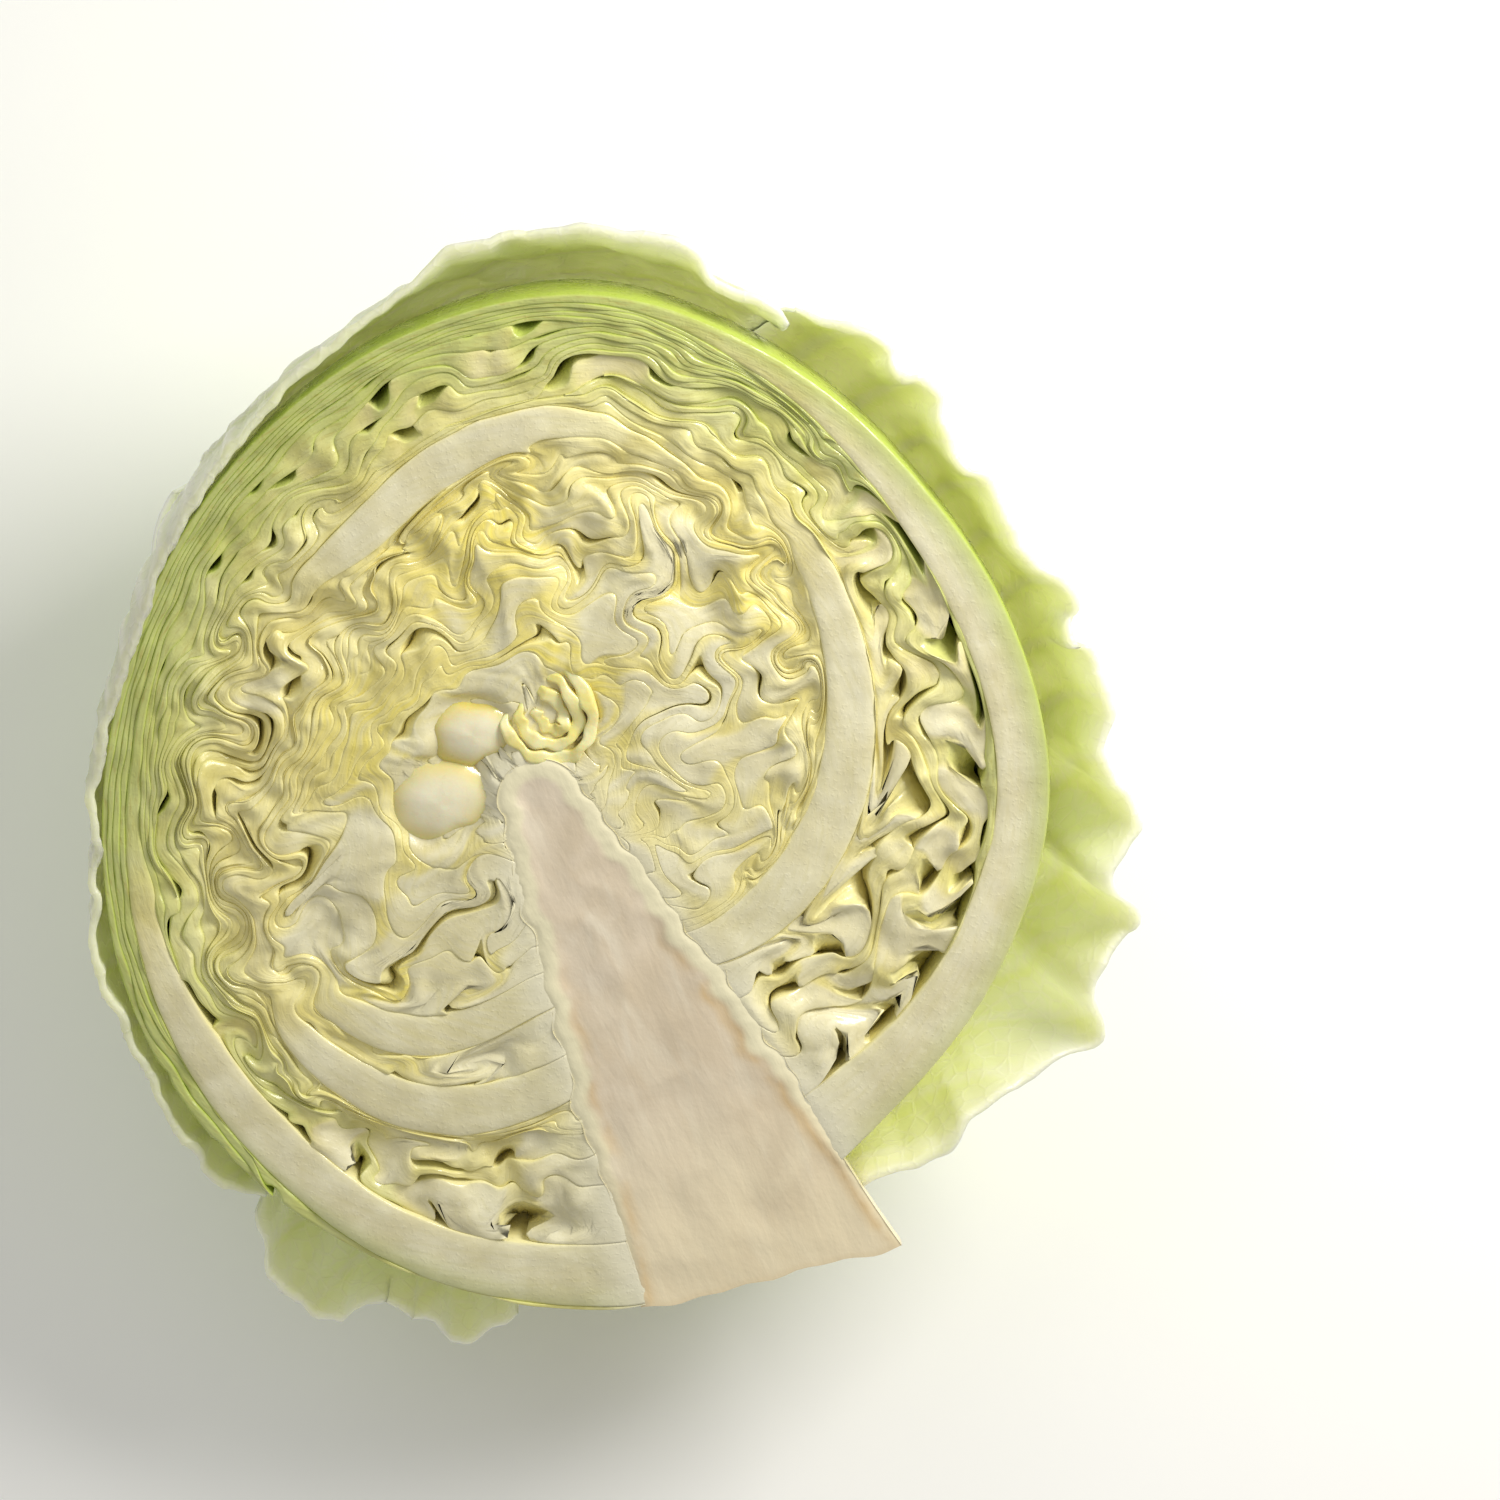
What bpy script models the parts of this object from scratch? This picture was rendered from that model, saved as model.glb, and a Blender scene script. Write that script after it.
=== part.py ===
"""Half of a white cabbage head, cut lengthwise through its core and lying on its rounded back.

Every leaf is a shell round one point, the tip of the core. A place on a shell is given by two angles:
station, in the cut plane, from the stem end (0) round by the right flank, the crown (180) and the left
flank back to the stem (360), and depth, below the cut plane, from 0 at the rim to 90 underneath.
Sizes are in millimetres until a mesh is made.
"""

import math

import bmesh
import bpy
import numpy as np
from mathutils import Vector

MM = 0.001

# The whole half
CROWN_RADIUS = 88.0  # from the core's tip to the outside of the tight head, near the crown
HEAD_DEPTH = 83.0  # from the core's tip down to the outside of the tight head
PRESSED_DEPTH = 80.4  # the table presses the tight head flat this far below the core's tip
CUT_LEAN_DEG = 22.0  # the cut face leans this far from level, down towards the stem
STEM_LEAN_DEG = 24.2  # the core's line, off the half's own length, in the cut plane

# Leaves
LEAF_GAP = 0.5  # least room between two leaves
BLADE = 1.1  # thickness of a leaf's blade, away from its rib
WRAPPER_BLADE = 1.2
FADE_DEG = 12.0  # past a leaf's tip its neighbours close up over this stretch
CALM_DEG = 30.0  # from its base a leaf runs this far before it waves in full
TWIST = 0.012  # a wave moves along the leaf by this share of its period for each degree of depth

# The core and the stem's cut end
CORE_TIP_HALF = 4.0
CORE_TAPER = 0.19  # gain in half width for each millimetre from the tip
CORE_LENGTH = 96.5
CORE_END_SLANT = 0.16
CORE_RINGS = (3, 12, 34, 62, 84)
CORE_SIDES = 10

# Lines of cells that all the leaves share, so that neighbours follow each other face by face
STATION_STEP = 6
FIRST_STATION, LAST_STATION = 15, 345
BELOW_CORE = (352, 360, 368)
DEPTHS = (0, 9, 24, 50, 90)
BELOW_CORE_ROW = 2  # a leaf passes under the core from this row down
BOTTOM_HEART_SHARE = 0.18  # underneath, the leaves share the room from the outside in to here
ROUND_BY_DEG = 55.0  # the waves and ribs of the rim have died away at this depth

# Outside of the tight head at the rim, as shares of CROWN_RADIUS: (station, share)
HEAD_OUTLINE = [
    (0, 1.00), (15, 0.95), (45, 0.96), (65, 0.985), (90, 0.975), (105, 0.97), (130, 1.0), (150, 1.02),
    (172, 0.965), (190, 0.91), (207, 0.87), (228, 0.84), (252, 0.855), (275, 0.91), (300, 0.975),
    (325, 1.035), (345, 1.075), (375, 0.95),
]
# Inside of the innermost leaf at the rim: (station, millimetres)
HEART_OUTLINE = [
    (15, 10), (60, 10), (100, 14), (130, 22), (150, 24), (200, 26), (245, 27), (290, 16), (330, 11), (345, 10),
]

# The leaves of the tight head, from the outside in: name, station of the base, station of the tip,
# thickness as (station, millimetres), share of the free room outside it, and how that room comes and
# goes along the leaf, which makes it wave: swing as a share, and period in degrees.
LEAVES = [
    ("crown_leaf", 15, 231, [(15, 13), (30, 10.5), (60, 9), (100, 7.5), (125, 4.5), (150, 1.6), (180, 1.1)], 0, 0, 1),
    ("outer_leaf_1", 117, 303, [(117, BLADE)], 1.0, 0.4, 41),
    ("outer_leaf_2", 123, 285, [(117, BLADE)], 1.0, 0.4, 37),
    ("flank_leaf", 345, 171, [(345, 12), (325, 10), (290, 8), (262, 4), (235, 1.5), (200, 1.1)], 0, 0, 1),
    ("outer_leaf_3", 105, 273, [(117, BLADE)], 0.14, 0.7, 33),
    ("outer_leaf_4", 117, 261, [(117, BLADE)], 0.14, 0.7, 29),
    ("outer_leaf_5", 111, 249, [(117, BLADE)], 0.16, 0.7, 31),
    ("crinkled_leaf_1", 15, 159, [(15, 2.2), (40, 1.2)], 0.9, 0.9, 25),
    ("crinkled_leaf_2", 15, 147, [(15, 2.6), (40, 1.2)], 0.8, 0.85, 23),
    ("crinkled_leaf_3", 15, 153, [(15, 2.4), (40, 1.2)], 0.8, 0.9, 27),
    ("crinkled_leaf_4", 345, 231, [(345, 2.2), (325, 1.2)], 0.7, 0.9, 25),
    ("crinkled_leaf_5", 345, 213, [(345, 2.4), (325, 1.2)], 0.7, 0.85, 22),
    ("rib_leaf_2", 15, 171, [(15, 7.5), (40, 9.5), (75, 9), (105, 6), (130, 2), (150, 1.1)], 0, 0, 1),
    ("crown_rib_leaf", 111, 261, [(111, 1.1), (145, 4), (168, 8), (188, 7), (208, 2.5), (225, 1.1)], 0, 0, 1),
    ("pocket_leaf_1", 171, 303, [(200, BLADE)], 0.6, 0.9, 31),
    ("pocket_leaf_2", 183, 291, [(200, BLADE)], 0.9, 0.9, 27),
    ("rib_leaf_1", 345, 207, [(345, 8), (325, 9.5), (300, 7), (275, 2), (255, 1.1)], 0, 0, 1),
    ("inner_leaf_2", 345, 171, [(345, 2), (320, 1.2)], 0.9, 0.9, 25),
    ("rib_leaf_3", 345, 195, [(345, 6), (325, 8.5), (300, 7), (280, 2), (262, 1.1)], 0, 0, 1),
    ("inner_leaf_1", 15, 183, [(15, 2), (45, 1.2)], 0.8, 0.9, 27),
    ("inner_leaf_3", 15, 213, [(15, 3.5), (50, 3), (80, 1.2)], 0.8, 0.9, 30),
    ("inner_leaf_4", 345, 153, [(345, 4), (310, 4.5), (280, 1.2)], 0.9, 0.9, 25),
    ("heart_leaf_1", 15, 249, [(15, 2.5), (60, 1.2)], 0.9, 0.8, 36),
    ("heart_leaf_2", 345, 123, [(345, 2.5), (300, 1.6), (250, 1.1)], 0.8, 0.8, 33),
    ("heart_leaf_3", 39, 303, [(40, BLADE)], 0.8, 0.7, 45),
]
# The thick leaves don't wave: their outer faces hold these courses, and the leaves between two of them
# share the room there. Past its ends a course only parts the leaves on its two sides.
COURSES = {
    "flank_leaf": [
        (15, 72), (60, 76), (90, 77), (117, 80), (150, 85), (172, 81), (190, 76), (207, 72.5), (228, 70),
        (252, 71.3), (275, 76), (300, 83), (325, 91), (345, 94.5),
    ],
    "rib_leaf_2": [
        (15, 40), (21, 42.5), (60, 54), (85, 60), (110, 66), (134, 71.5), (150, 72), (171, 67), (200, 61),
        (230, 59), (260, 61), (300, 67), (345, 60),
    ],
    "crown_rib_leaf": [
        (15, 30), (60, 44), (85, 49), (111, 56), (134, 65), (147, 69), (156, 70), (170, 66), (188, 59.5),
        (207, 57), (230, 57), (261, 60), (300, 66), (345, 59),
    ],
    "rib_leaf_1": [
        (15, 31), (60, 43), (85, 48), (110, 54), (130, 59), (160, 57), (178, 53), (192, 48), (207, 45), (235, 45), (250, 50), (275, 58), (297, 64),
        (318, 64.5), (341, 55), (345, 53),
    ],
    "rib_leaf_3": [
        (15, 30), (60, 42), (85, 47), (110, 53), (130, 57), (160, 55), (178, 50), (195, 44), (235, 42), (262, 48), (292, 54.5), (312, 51.5),
        (333, 40), (345, 36),
    ],
}
COURSE_ROOM = 0.6  # share of the free room just outside a course
UNDER_THE_CORE = ("crown_leaf", "crinkled_leaf_2", "rib_leaf_1", "rib_leaf_2", "inner_leaf_2")
GOLDEN = 0.618  # each leaf's wave starts this share of a period after the last one's

# Loose leaves outside the tight head: how far outside each lies, and its rim as
# (station, millimetres that it stands off, millimetres that it drops below the cut)
LEFT_WRAPPER_LEVEL, RIGHT_WRAPPER_LEVEL, UNDER_LEAF_LEVEL = 0.8, 2.8, 6.0
LEFT_WRAPPER_RIM = [
    (129, 1.5, 2), (141, 2, 1), (153, 3, 0), (171, 2, 0), (189, 1, 0), (207, 0.5, 0), (225, 0, 0), (243, 1.0, 0),
    (255, 0.2, 0), (267, 1.6, 0), (279, 0.8, 1), (291, 2.4, 2), (303, 1.5, 6),
]
RIGHT_WRAPPER_RIM = [
    (15, 0.5, 3), (21, 5, 4), (27, 5, 3), (33, 8, 9), (39, 15, 12), (45, 7, 6), (51, 12, 8), (57, 2.5, 2), (63, 8, 4),
    (69, 1, 1), (75, 3.5, 1), (81, 1, 0), (87, 3, 1), (93, 0.8, 0), (105, 1.5, 0), (117, 4.5, 1), (129, 3, 4),
]
TORN_LEAF_RIM = [
    (303, 1, 7), (309, 9, 8), (315, 10, 11), (321, 2, 9), (327, 7, 13), (333, 1, 12),
]
BULGE_TO_DEG = 45.0
RUFFLE_DEPTH_DEG = 15.0  # a wrapper's ruffles have died away some way below this depth
WRAPPER_DEPTHS = (0, 4, 10, 18, 28, 38, 48, 58)

UNDER_LEAF_ALONG = (16, 27, 38, 50, 62, 74, 86, 98, 110, 122, 134, 144)  # from the stem, degrees
UNDER_LEAF_ACROSS = (-1, -0.86, -0.7, -0.5, -0.28, -0.1, 0, 0.1, 0.28, 0.5, 0.7, 0.86, 1)
UNDER_LEAF_HALF_WIDTH = [(16, 12), (30, 26), (50, 42), (90, 60), (125, 50), (144, 28)]
UNDER_LEAF_RIB = [(16, 5), (30, 3.5), (48, 0), (92, 0), (105, 1.2), (144, 0.6)]
UNDER_LEAF_LIFT = 2.5  # its margins stand off by up to this

# Small parts of the heart, as (right, towards the crown) in the cut plane from the core's tip
BUDS = {"heart_bud_1": ((-17.0, 2.0), 6.6, 3.4), "heart_bud_2": ((-10.0, 11.2), 4.4, 3.0)}
BUD_TOP = 0.8  # below the cut
CURL_CENTRE = (3.5, 16.0)
CURL_RADIUS = 4.2
CURL_TURN_DEG = (-150, 120)
CURL_DEPTH = 6.0


def smooth_through(knots, at):
    """A smooth curve through (x, y) knots, level beyond its ends."""
    xs, ys = np.array(sorted(knots), float).T
    if len(xs) == 1:
        return np.full(np.shape(at), ys[0])
    slopes = np.gradient(ys, xs)
    at = np.clip(at, xs[0], xs[-1])
    i = np.clip(np.searchsorted(xs, at) - 1, 0, len(xs) - 2)
    width = xs[i + 1] - xs[i]
    t = (at - xs[i]) / width
    start = ys[i] * (2 * t**3 - 3 * t**2 + 1) + slopes[i] * width * (t**3 - 2 * t**2 + t)
    end = ys[i + 1] * (3 * t**2 - 2 * t**3) + slopes[i + 1] * width * (t**3 - t**2)
    return start + end


def ease(share):
    share = np.clip(share, 0, 1)
    return share * share * (3 - 2 * share)


def direction(station, depth):
    """Unit vector from the core's tip: x right, y towards the crown, z out of the cut."""
    turn = np.radians(np.asarray(station, float) - 90 + STEM_LEAN_DEG)
    down = np.radians(np.asarray(depth, float))
    flat = np.cos(down)
    return np.stack([flat * np.cos(turn), flat * np.sin(turn), -np.sin(down) + 0 * turn], -1)


def rim_radius(station):
    return CROWN_RADIUS * smooth_through(HEAD_OUTLINE, np.mod(station, 360))


def head_radius(station, way, outside=0.0):
    """Distance along a direction to the surface that far outside the tight head, pressed flat below."""
    flat, deep = np.hypot(way[..., 0], way[..., 1]), way[..., 2]
    dome = 1 / np.hypot(flat / rim_radius(station), deep / HEAD_DEPTH) + outside
    lean = math.radians(CUT_LEAN_DEG)
    down = way @ np.array([0, -math.sin(lean), -math.cos(lean)])
    table = (PRESSED_DEPTH + outside) / np.maximum(down, 0.3)
    return np.minimum(dome, np.where(down > 0.3, table, dome))


def core_half_width(along):
    return CORE_TIP_HALF + CORE_TAPER * along


def flank_angle(radius):
    """Degrees between the stem's line and the core's flank, at that distance from the core's tip."""
    clear = core_half_width(radius * 0.96) + 2 * LEAF_GAP
    return max(FIRST_STATION, math.degrees(math.asin(min(clear / radius, 0.9))))


def leaf_shares(station, depth):
    """Inner and outer face of every leaf, as shares of the head's radius there.

    The leaves are stacked from the outside in. Deep down, and under the core, they are evenly spaced.
    """
    wide, heart = rim_radius(station), smooth_through(HEART_OUTLINE, station)
    bodies, rooms, thick = [], [], []
    for number, (_, base, tip, knots, room, swing, period) in enumerate(LEAVES):
        past = np.maximum(min(base, tip) - station, station - max(base, tip))
        here = ease(1 - past / FADE_DEG)
        calm = ease(np.abs(station - base) / CALM_DEG)
        turns = station / period + number * GOLDEN + TWIST * depth
        thick.append(smooth_through(knots, station))
        bodies.append(here * (thick[-1] + LEAF_GAP))
        rooms.append(here * room * (1 + calm * swing * np.sin(2 * np.pi * turns)))
    packed = np.minimum(1, (wide - heart) / np.maximum(sum(bodies), 1e-6))
    bodies = [packed * body for body in bodies]
    edge, starts = wide, []
    held = [number for number, leaf in enumerate(LEAVES) if leaf[0] in COURSES]
    for first, last in zip([0] + [number + 1 for number in held], held + [len(LEAVES)]):
        course = heart if last == len(LEAVES) else smooth_through(COURSES[LEAVES[last][0]], station)
        course = np.clip(course, heart + sum(bodies[last:]), edge - sum(bodies[first:last]))
        free = edge - sum(bodies[first:last]) - course
        share_out = free / (COURSE_ROOM + sum(rooms[first:last]))
        for room, body in zip(rooms[first:last], bodies[first:last]):
            edge = edge - room * share_out
            starts.append(edge)
            edge = edge - body
        if last < len(LEAVES):
            starts.append(course)
            edge = course - bodies[last]
    below_core = (station < FIRST_STATION) | (station > LAST_STATION)
    blend = np.where(below_core, 1.0, ease(depth / ROUND_BY_DEG))
    pitch = (1 - BOTTOM_HEART_SHARE) / len(LEAVES)
    shares = []
    for number, (start, leaf) in enumerate(zip(starts, thick)):
        outer = start - LEAF_GAP / 2 * packed
        inner = outer - leaf * packed
        low_outer = 1 - pitch * (number + 0.2)
        low_inner = low_outer - BLADE / HEAD_DEPTH
        shares.append((
            inner / wide * (1 - blend) + low_inner * blend,
            outer / wide * (1 - blend) + low_outer * blend,
        ))
    return shares


def shell_mesh(name, inner, outer, cells=None, pole=False):
    """A closed shell between two grids of points, over the marked cells, with walls round its edge."""
    rows, columns = outer.shape[0] - 1, outer.shape[1] - 1
    cells = np.ones((rows, columns), bool) if cells is None else cells
    points, faces, corners = [], [], {}

    def corner(i, j, face):
        key = (0 if pole and j == columns else i, j, face)
        if key not in corners:
            corners[key] = len(points)
            points.append((outer, inner)[face][key[0], j] * MM)
        return corners[key]

    def add(*ring):
        if len(set(ring)) == 3:
            faces.append(ring)

    for i, j in zip(*np.nonzero(cells)):
        square = [(i, j), (i, j + 1), (i + 1, j + 1), (i + 1, j)]
        a, b, c, d = (corner(*at, 0) for at in square)
        add(a, b, c)
        add(a, c, d)
        a, b, c, d = (corner(*at, 1) for at in square)
        add(a, c, b)
        add(a, d, c)
        for k, (m, n) in enumerate([(i - 1, j), (i, j + 1), (i + 1, j), (i, j - 1)]):
            if 0 <= m < rows and 0 <= n < columns and cells[m, n]:
                continue
            start, end = square[k], square[(k + 1) % 4]
            p, q = corner(*start, 0), corner(*end, 0)
            r, s = corner(*end, 1), corner(*start, 1)
            if p != q:
                add(p, s, r)
                add(p, r, q)
    mesh = bpy.data.meshes.new(name)
    mesh.from_pydata(points, [], faces)
    mesh.shade_smooth()
    mesh.set_sharp_from_angle(angle=math.radians(40))
    return mesh


def material(name, colour, roughness):
    found = bpy.data.materials.new(name)
    found.use_nodes = True
    shader = found.node_tree.nodes["Principled BSDF"]
    shader.inputs["Base Color"].default_value = (*colour, 1)
    shader.inputs["Roughness"].default_value = roughness
    return found


def place(name, mesh, finish, frame):
    piece = bpy.data.objects.new(name, mesh)
    mesh.materials.append(finish)
    piece.parent = frame
    bpy.context.scene.collection.objects.link(piece)
    return piece


def head_leaf(number, finish, frame):
    """One leaf of the tight head: its base on the core's flank, its blade round towards the crown."""
    name, base, tip, *_ = LEAVES[number]
    low, high = min(base, tip), max(base, tip)
    inner, _ = leaf_shares(np.array(float(base)), np.array(0.0))[number]
    flank = flank_angle(0.97 * float(inner) * float(rim_radius(np.array(float(base)))))
    first = flank if low == FIRST_STATION else low
    last = 360 - flank if high == LAST_STATION else high
    clear = STATION_STEP / 3
    lines = [s for s in range(FIRST_STATION, LAST_STATION, STATION_STEP) if first + clear < s < last - clear]
    lines = [first] + lines + [last]
    if name in UNDER_THE_CORE:
        lines = [s - 360 for s in BELOW_CORE] + lines if base == FIRST_STATION else lines + list(BELOW_CORE)
    station, depth = np.meshgrid(np.array(lines, float), np.array(DEPTHS, float), indexing="ij")
    deep = depth >= DEPTHS[BELOW_CORE_ROW]
    closer = max(FIRST_STATION, flank - 8)
    station = np.where(deep & (station == flank), closer, station)
    station = np.where(deep & (station == 360 - flank), 360 - closer, station)
    inner, outer = leaf_shares(station, depth)[number]
    way = direction(station, depth)
    reach = head_radius(station, way)
    cells = np.ones((len(lines) - 1, len(DEPTHS) - 1), bool)
    for i, (start, end) in enumerate(zip(lines, lines[1:])):
        if end <= first or start >= last:
            cells[i, :BELOW_CORE_ROW] = False
    mesh = shell_mesh(
        name, way * (reach * inner)[..., None], way * (reach * outer)[..., None], cells, pole=True
    )
    return place(name, mesh, finish, frame)


def wrapper(name, rim, level, bulge, depths, finish, frame):
    """A loose outer leaf: its rim runs along the cut and its other margin lies under the half."""
    stations = np.arange(rim[0][0], rim[-1][0] + 1, STATION_STEP, float)
    station, depth = np.meshgrid(stations, np.array(depths, float), indexing="ij")
    loose = np.exp(-((depth / RUFFLE_DEPTH_DEG) ** 2))
    off = loose * smooth_through([(at, off) for at, off, _ in rim], station)
    off = off + bulge * np.sin(np.pi * np.clip(depth / BULGE_TO_DEG, 0, 1))
    drop = loose * smooth_through([(at, drop) for at, _, drop in rim], station)
    way = direction(station, depth)
    faces = []
    for outside in (level, level + WRAPPER_BLADE):
        face = way * (head_radius(station, way, outside) + off)[..., None]
        face[..., 2] -= drop
        faces.append(face)
    return place(name, shell_mesh(name, *faces), finish, frame)


def under_leaf(finish, frame):
    """The big leaf that the half lies on. Its rib runs from the stem under the head to the crown."""
    along, share = np.meshgrid(np.array(UNDER_LEAF_ALONG, float), np.array(UNDER_LEAF_ACROSS), indexing="ij")
    turn, lateral = np.radians(along), np.radians(share * smooth_through(UNDER_LEAF_HALF_WIDTH, along))
    stem, below, beside = direction(0, 0), np.array([0.0, 0.0, -1.0]), direction(90, 0)
    rib_line = np.cos(turn)[..., None] * stem + np.sin(turn)[..., None] * below
    way = np.cos(lateral)[..., None] * rib_line + np.sin(lateral)[..., None] * beside
    station = np.degrees(np.arctan2(way[..., 1], way[..., 0])) + 90 - STEM_LEAN_DEG
    margin = np.clip((np.abs(share) - 0.6) / 0.4, 0, 1) ** 2
    lift = UNDER_LEAF_LIFT * margin * (1 + 0.8 * np.sin(np.radians(along * 9) + 2 * np.sign(share)))
    rib = smooth_through(UNDER_LEAF_RIB, along) * (share == 0)
    inner = head_radius(station, way, UNDER_LEAF_LEVEL) + lift
    outer = head_radius(station, way, UNDER_LEAF_LEVEL + WRAPPER_BLADE) + lift + rib
    mesh = shell_mesh("under_leaf", (way * inner[..., None])[:, ::-1], (way * outer[..., None])[:, ::-1])
    return place("under_leaf", mesh, finish, frame)


def core(finish, frame):
    """Half a slim cone, turned about the stem's line from its outline, with the stem cut off on a slant."""
    stem, beside = Vector(direction(0, 0)), Vector(direction(90, 0))
    outline = [(-CORE_TIP_HALF, 0)] + [(s, core_half_width(s)) for s in (*CORE_RINGS, CORE_LENGTH)] + [(CORE_LENGTH, 0)]
    work = bmesh.new()
    line = [work.verts.new((stem * along + beside * half) * MM) for along, half in outline]
    edges = [work.edges.new(pair) for pair in zip(line, line[1:])]
    bmesh.ops.spin(work, geom=line + edges, cent=(0, 0, 0), axis=stem, angle=-math.pi, steps=CORE_SIDES)
    bmesh.ops.remove_doubles(work, verts=work.verts, dist=1e-6)
    bmesh.ops.holes_fill(work, edges=[edge for edge in work.edges if edge.is_boundary])
    for vert in work.verts:
        if vert.co.dot(stem) > (CORE_LENGTH - 0.1) * MM:
            vert.co += stem * (vert.co.dot(beside) * CORE_END_SLANT)
    bmesh.ops.recalc_face_normals(work, faces=work.faces)
    mesh = bpy.data.meshes.new("core")
    work.to_mesh(mesh)
    work.free()
    mesh.shade_smooth()
    mesh.set_sharp_from_angle(angle=math.radians(40))
    return place("core", mesh, finish, frame)


def heart_bud(name, at, half, deep, finish, frame):
    """A plump little leaf base that swells up in the heart."""
    work = bmesh.new()
    bmesh.ops.create_uvsphere(work, u_segments=10, v_segments=8, radius=MM)
    bmesh.ops.scale(work, vec=(half, half, deep), verts=work.verts)
    bmesh.ops.translate(work, vec=Vector((*at, -deep - BUD_TOP)) * MM, verts=work.verts)
    mesh = bpy.data.meshes.new(name)
    work.to_mesh(mesh)
    work.free()
    mesh.shade_smooth()
    return place(name, mesh, finish, frame)


def heart_curl(finish, frame):
    """The rolled tip of the youngest leaf, seen on end."""
    start, end = CURL_TURN_DEG
    turn, deep = np.meshgrid(np.radians(np.linspace(start, end, 13)), np.linspace(0, CURL_DEPTH, 4), indexing="ij")
    faces = []
    for radius in (CURL_RADIUS - BLADE / 2, CURL_RADIUS + BLADE / 2):
        wide = radius * (1 - 0.35 * (deep / CURL_DEPTH) ** 2)
        faces.append(np.stack([
            CURL_CENTRE[0] + wide * np.cos(turn), CURL_CENTRE[1] + wide * np.sin(turn), -0.5 - deep,
        ], -1))
    return place("heart_curl", shell_mesh("heart_curl", *faces), finish, frame)


def stand_on_table(frame):
    """Leans the half as it lies, then puts the middle of its underside's box at the origin."""
    frame.rotation_euler = (math.radians(CUT_LEAN_DEG), 0, 0)
    bpy.context.view_layer.update()
    corners = np.array([
        piece.matrix_world @ vertex.co
        for piece in bpy.context.scene.objects if piece.type == "MESH"
        for vertex in piece.data.vertices
    ])
    low, high = corners.min(axis=0), corners.max(axis=0)
    middle = (low + high) / 2
    frame.location = (-middle[0], -middle[1], -low[2])


def main():
    for piece in list(bpy.data.objects):
        bpy.data.objects.remove(piece)
    frame = bpy.data.objects.new("cut_plane", None)
    bpy.context.scene.collection.objects.link(frame)
    white = material("inner_leaf", (0.86, 0.84, 0.62), 0.35)
    pale_green = material("outer_leaf", (0.72, 0.82, 0.42), 0.35)
    green = material("wrapper_leaf", (0.55, 0.76, 0.2), 0.35)
    cream = material("heart_leaf", (0.9, 0.84, 0.5), 0.3)
    ivory = material("core", (0.86, 0.79, 0.68), 0.45)
    for number, (name, *_) in enumerate(LEAVES):
        finish = cream if name.startswith("heart") else pale_green if name.startswith("outer") else white
        head_leaf(number, finish, frame)
    core(ivory, frame)
    for name, (at, half, deep) in BUDS.items():
        heart_bud(name, at, half, deep, cream, frame)
    heart_curl(cream, frame)
    wrapper("left_wrapper", LEFT_WRAPPER_RIM, LEFT_WRAPPER_LEVEL, 2.0, WRAPPER_DEPTHS, green, frame)
    wrapper("right_wrapper", RIGHT_WRAPPER_RIM, RIGHT_WRAPPER_LEVEL, 0.0, WRAPPER_DEPTHS, green, frame)
    wrapper("torn_leaf", TORN_LEAF_RIM, RIGHT_WRAPPER_LEVEL, 0.0, WRAPPER_DEPTHS[:6], green, frame)
    under_leaf(green, frame)
    stand_on_table(frame)


main()
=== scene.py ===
# Half of a white cabbage head. A knife went through it from the stem to the crown, and it lies on its
# rounded back. The leaves are laid out in millimetres from the tip of the core: across the cut face, up
# it towards the crown, and out of it. All of them are shells round that tip.

import math

import bpy
import numpy as np
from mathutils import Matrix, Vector


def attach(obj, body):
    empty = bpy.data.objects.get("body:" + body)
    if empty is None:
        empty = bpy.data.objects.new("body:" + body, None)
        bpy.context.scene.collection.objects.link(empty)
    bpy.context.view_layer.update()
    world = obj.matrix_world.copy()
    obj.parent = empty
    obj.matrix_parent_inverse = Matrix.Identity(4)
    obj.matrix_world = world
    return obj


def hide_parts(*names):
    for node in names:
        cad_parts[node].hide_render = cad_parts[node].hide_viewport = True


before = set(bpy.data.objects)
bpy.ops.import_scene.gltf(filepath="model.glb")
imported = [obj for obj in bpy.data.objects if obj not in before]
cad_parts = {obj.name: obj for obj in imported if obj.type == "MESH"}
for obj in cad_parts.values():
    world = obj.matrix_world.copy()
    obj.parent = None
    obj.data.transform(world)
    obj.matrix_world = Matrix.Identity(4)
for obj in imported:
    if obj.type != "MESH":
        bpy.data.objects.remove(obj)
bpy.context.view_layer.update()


# The cut face. It leans from level, down towards the stem, and the core's line runs to the lower right.
# Everything on it is placed by this pair of functions.

CUT_LEAN = math.radians(22)
STEM_LEAN = 24.2  # degrees between the core's line and the half's own length
CORE_TIP = np.array([-10.403, -2.631, 87.6])  # millimetres in the row frame


def in_row(points):
    """Points given across, up and out of the cut, in millimetres, as metres in the row frame."""
    across, up, out = np.moveaxis(np.asarray(points, float), -1, 0)
    y = up * math.cos(CUT_LEAN) - out * math.sin(CUT_LEAN)
    z = up * math.sin(CUT_LEAN) + out * math.cos(CUT_LEAN)
    return (np.stack([across, y, z], -1) + CORE_TIP) / 1000


def outward(station, depth=0.0):
    """Unit vector from the core's tip. Station runs round the cut, in degrees from the stem; depth is
    degrees below the cut."""
    turn = np.radians(np.asarray(station, float) - 90 + STEM_LEAN)
    down = np.radians(depth)
    return np.stack([np.cos(down) * np.cos(turn), np.cos(down) * np.sin(turn), -np.sin(down) + 0 * turn], -1)


# The studio. A pale floor in a white room, a small bright light at the right, a large soft one at the
# left, and a camera that looks almost straight down on the cut.

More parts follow.
